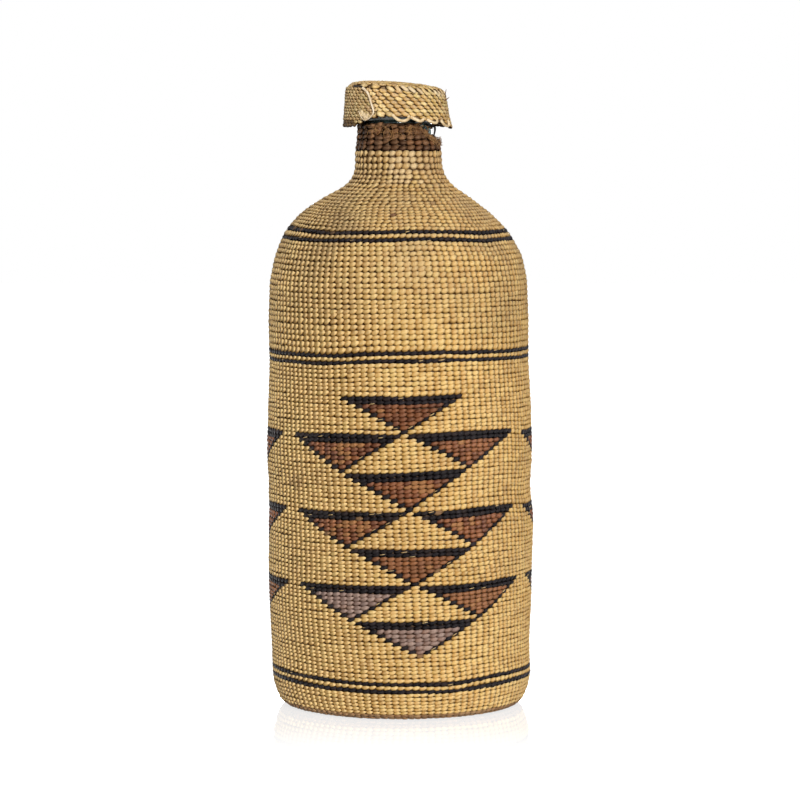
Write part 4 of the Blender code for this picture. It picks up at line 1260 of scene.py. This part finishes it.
curlRoot = fibreMaterial("curlRoot", (0.17, 0.070, 0.022), (0.50, 0.26, 0.085))
addFibres("neck_curls", curlLines, curlRoot, "root", 0.09)


def pointsFrom(points):
    return [tuple(mm * length for length in point) for point in points]


# dark stem ends: a hook beside the neck, and two that stick out of the cap, in mm
hookLine = pointsFrom((
    (12.4, -10, 230), (12.7, -9.7, 230.8), (13.4, -9.4, 231.1), (14, -9.1, 230.4), (14.1, -8.8, 229.1),
    (13.7, -8.5, 227.6), (13.3, -8.2, 225.8),
))
addFibres("neck_hook", [(hookLine, 1.5)], materials["blackStem"], "root", 0.46)
capEnds = [
    (pointsFrom(((18, -4, 243.2), (18.4, -4.2, 244.6), (18.5, -4.4, 245.4))), 1.0),
    (pointsFrom(((17.8, -6, 240.8), (19, -6.2, 241.6), (19.7, -6.2, 242.2))), 1.4),
]
addFibres("cap_ends", capEnds, materials["neckRoot"], "cap", 0.22)
# painted shadow: a near-black strand fills the slit where the tail tucks under the rim, where there is only shade
slitLine = [
    slumped(*onOutline(capOutline, radians(degrees), capS(0.2453), 0.9 * mm)) for degrees in range(-57, -41, 3)]
tuckShade = fibreMaterial("tuckShade", (0.004, 0.002, 0.001), (0.016, 0.008, 0.004))
addFibres("cap_tuck_shadow", [(slitLine, 1.0)], tuckShade, "cap", 0.52)


# stage, light and camera

# the floor's reflection fades out between near and far, and behind the object
floor = {
    "size": 4.0, "albedo": 0.52, "seenAlbedo": 0.14, "glow": 1.27, "mirror": 0.40, "near": -0.06, "far": -0.20,
    "behind": (-0.01, 0.04),
}
air = {"light": 0.12, "seen": 1.0, "mirrored": 0.60}
white, black = (1.0, 1.0, 1.0), (0.0, 0.0, 0.0)


def seenBy(nodes, *rays):
    path = nodes.add("LightPath").outputs
    seen = path["Is Camera Ray"]
    for ray in rays:
        seen = nodes.math("MAXIMUM", seen, path[f"Is {ray} Ray"])
    return seen, path


def makeFloor():
    shape = bmesh.new()
    bmesh.ops.create_grid(shape, x_segments=1, y_segments=1, size=floor["size"])
    ground = bpy.data.objects.new("studio_floor", meshFrom(shape, "studio_floor"))
    bpy.context.scene.collection.objects.link(ground)
    material, nodes, shader = newMaterial("studioWhite")
    seen, _ = seenBy(nodes, "Glossy", "Transmission")
    tone = nodes.span(seen, 0.0, 1.0, floor["albedo"], floor["seenAlbedo"])
    for label, value in (
        ("Roughness", 0.9), ("Specular IOR Level", 0.0), ("Base Color", nodes.mix(tone, black, white)),
        ("Emission Color", white), ("Emission Strength", nodes.times(seen, floor["glow"])),
    ):
        nodes.put(value, shader[label])
    mirror = nodes.add("BsdfGlossy", {"Roughness": 0.06, "Color": white})
    y = nodes.parts(nodes.place())[1]
    before = nodes.span(y, floor["far"], floor["near"], 0.0, floor["mirror"])
    behind = nodes.span(y, *floor["behind"], 1.0, 0.0)
    plain = material.node_tree.nodes["Principled BSDF"]
    blend = nodes.add("MixShader", {0: nodes.times(before, behind), 1: plain.outputs[0], 2: mirror.outputs[0]})
    nodes.put(blend.outputs[0], material.node_tree.nodes["Material Output"].inputs["Surface"])
    ground.data.materials.append(material)


def makeWorld():
    world = bpy.data.worlds.new("studio")
    bpy.context.scene.world = world
    world.use_nodes = True
    nodes, light = NodeTree(world.node_tree), world.node_tree.nodes["Background"].inputs
    seen, path = seenBy(nodes, "Transmission")
    strength = nodes.span(seen, 0.0, 1.0, air["light"], air["seen"])
    strength = nodes.math("MAXIMUM", strength, nodes.times(path["Is Glossy Ray"], air["mirrored"]))
    nodes.put(white, light["Color"])
    nodes.put(strength, light["Strength"])


def addAimed(name, made, place, target):
    piece = bpy.data.objects.new(name, made)
    piece.location = place
    piece.rotation_euler = (Vector(target) - Vector(place)).to_track_quat("-Z", "Y").to_euler()
    bpy.context.scene.collection.objects.link(piece)
    return piece


def addLamp(name, place, target, size, power):
    lamp = bpy.data.lights.new(name, "AREA")
    lamp.shape = "DISK"
    lamp.size = size
    lamp.energy = power
    addAimed(name, lamp, place, target)


def addCamera():
    lens = bpy.data.cameras.new("camera")
    lens.lens = 153.4
    lens.shift_y = 0.0012
    lens.sensor_width = 36.0
    bpy.context.scene.camera = addAimed("camera", lens, (0.0002, -1.360, 0.225), (0.0002, 0.0, 0.1212))


makeFloor()
makeWorld()
addLamp("key", (0.16, -1.42, 0.64), (0, 0, 0.125), 0.34, 20.8)
addLamp("back", (0.0, 1.45, 0.16), (0, 0, 0.12), 0.50, 11.0)
addLamp("overhead", (0.0, -0.30, 1.50), (0, 0, 0.1), 1.00, 3.6)
addCamera()
bpy.context.scene.view_settings.view_transform = "Standard"

print("scene ready")
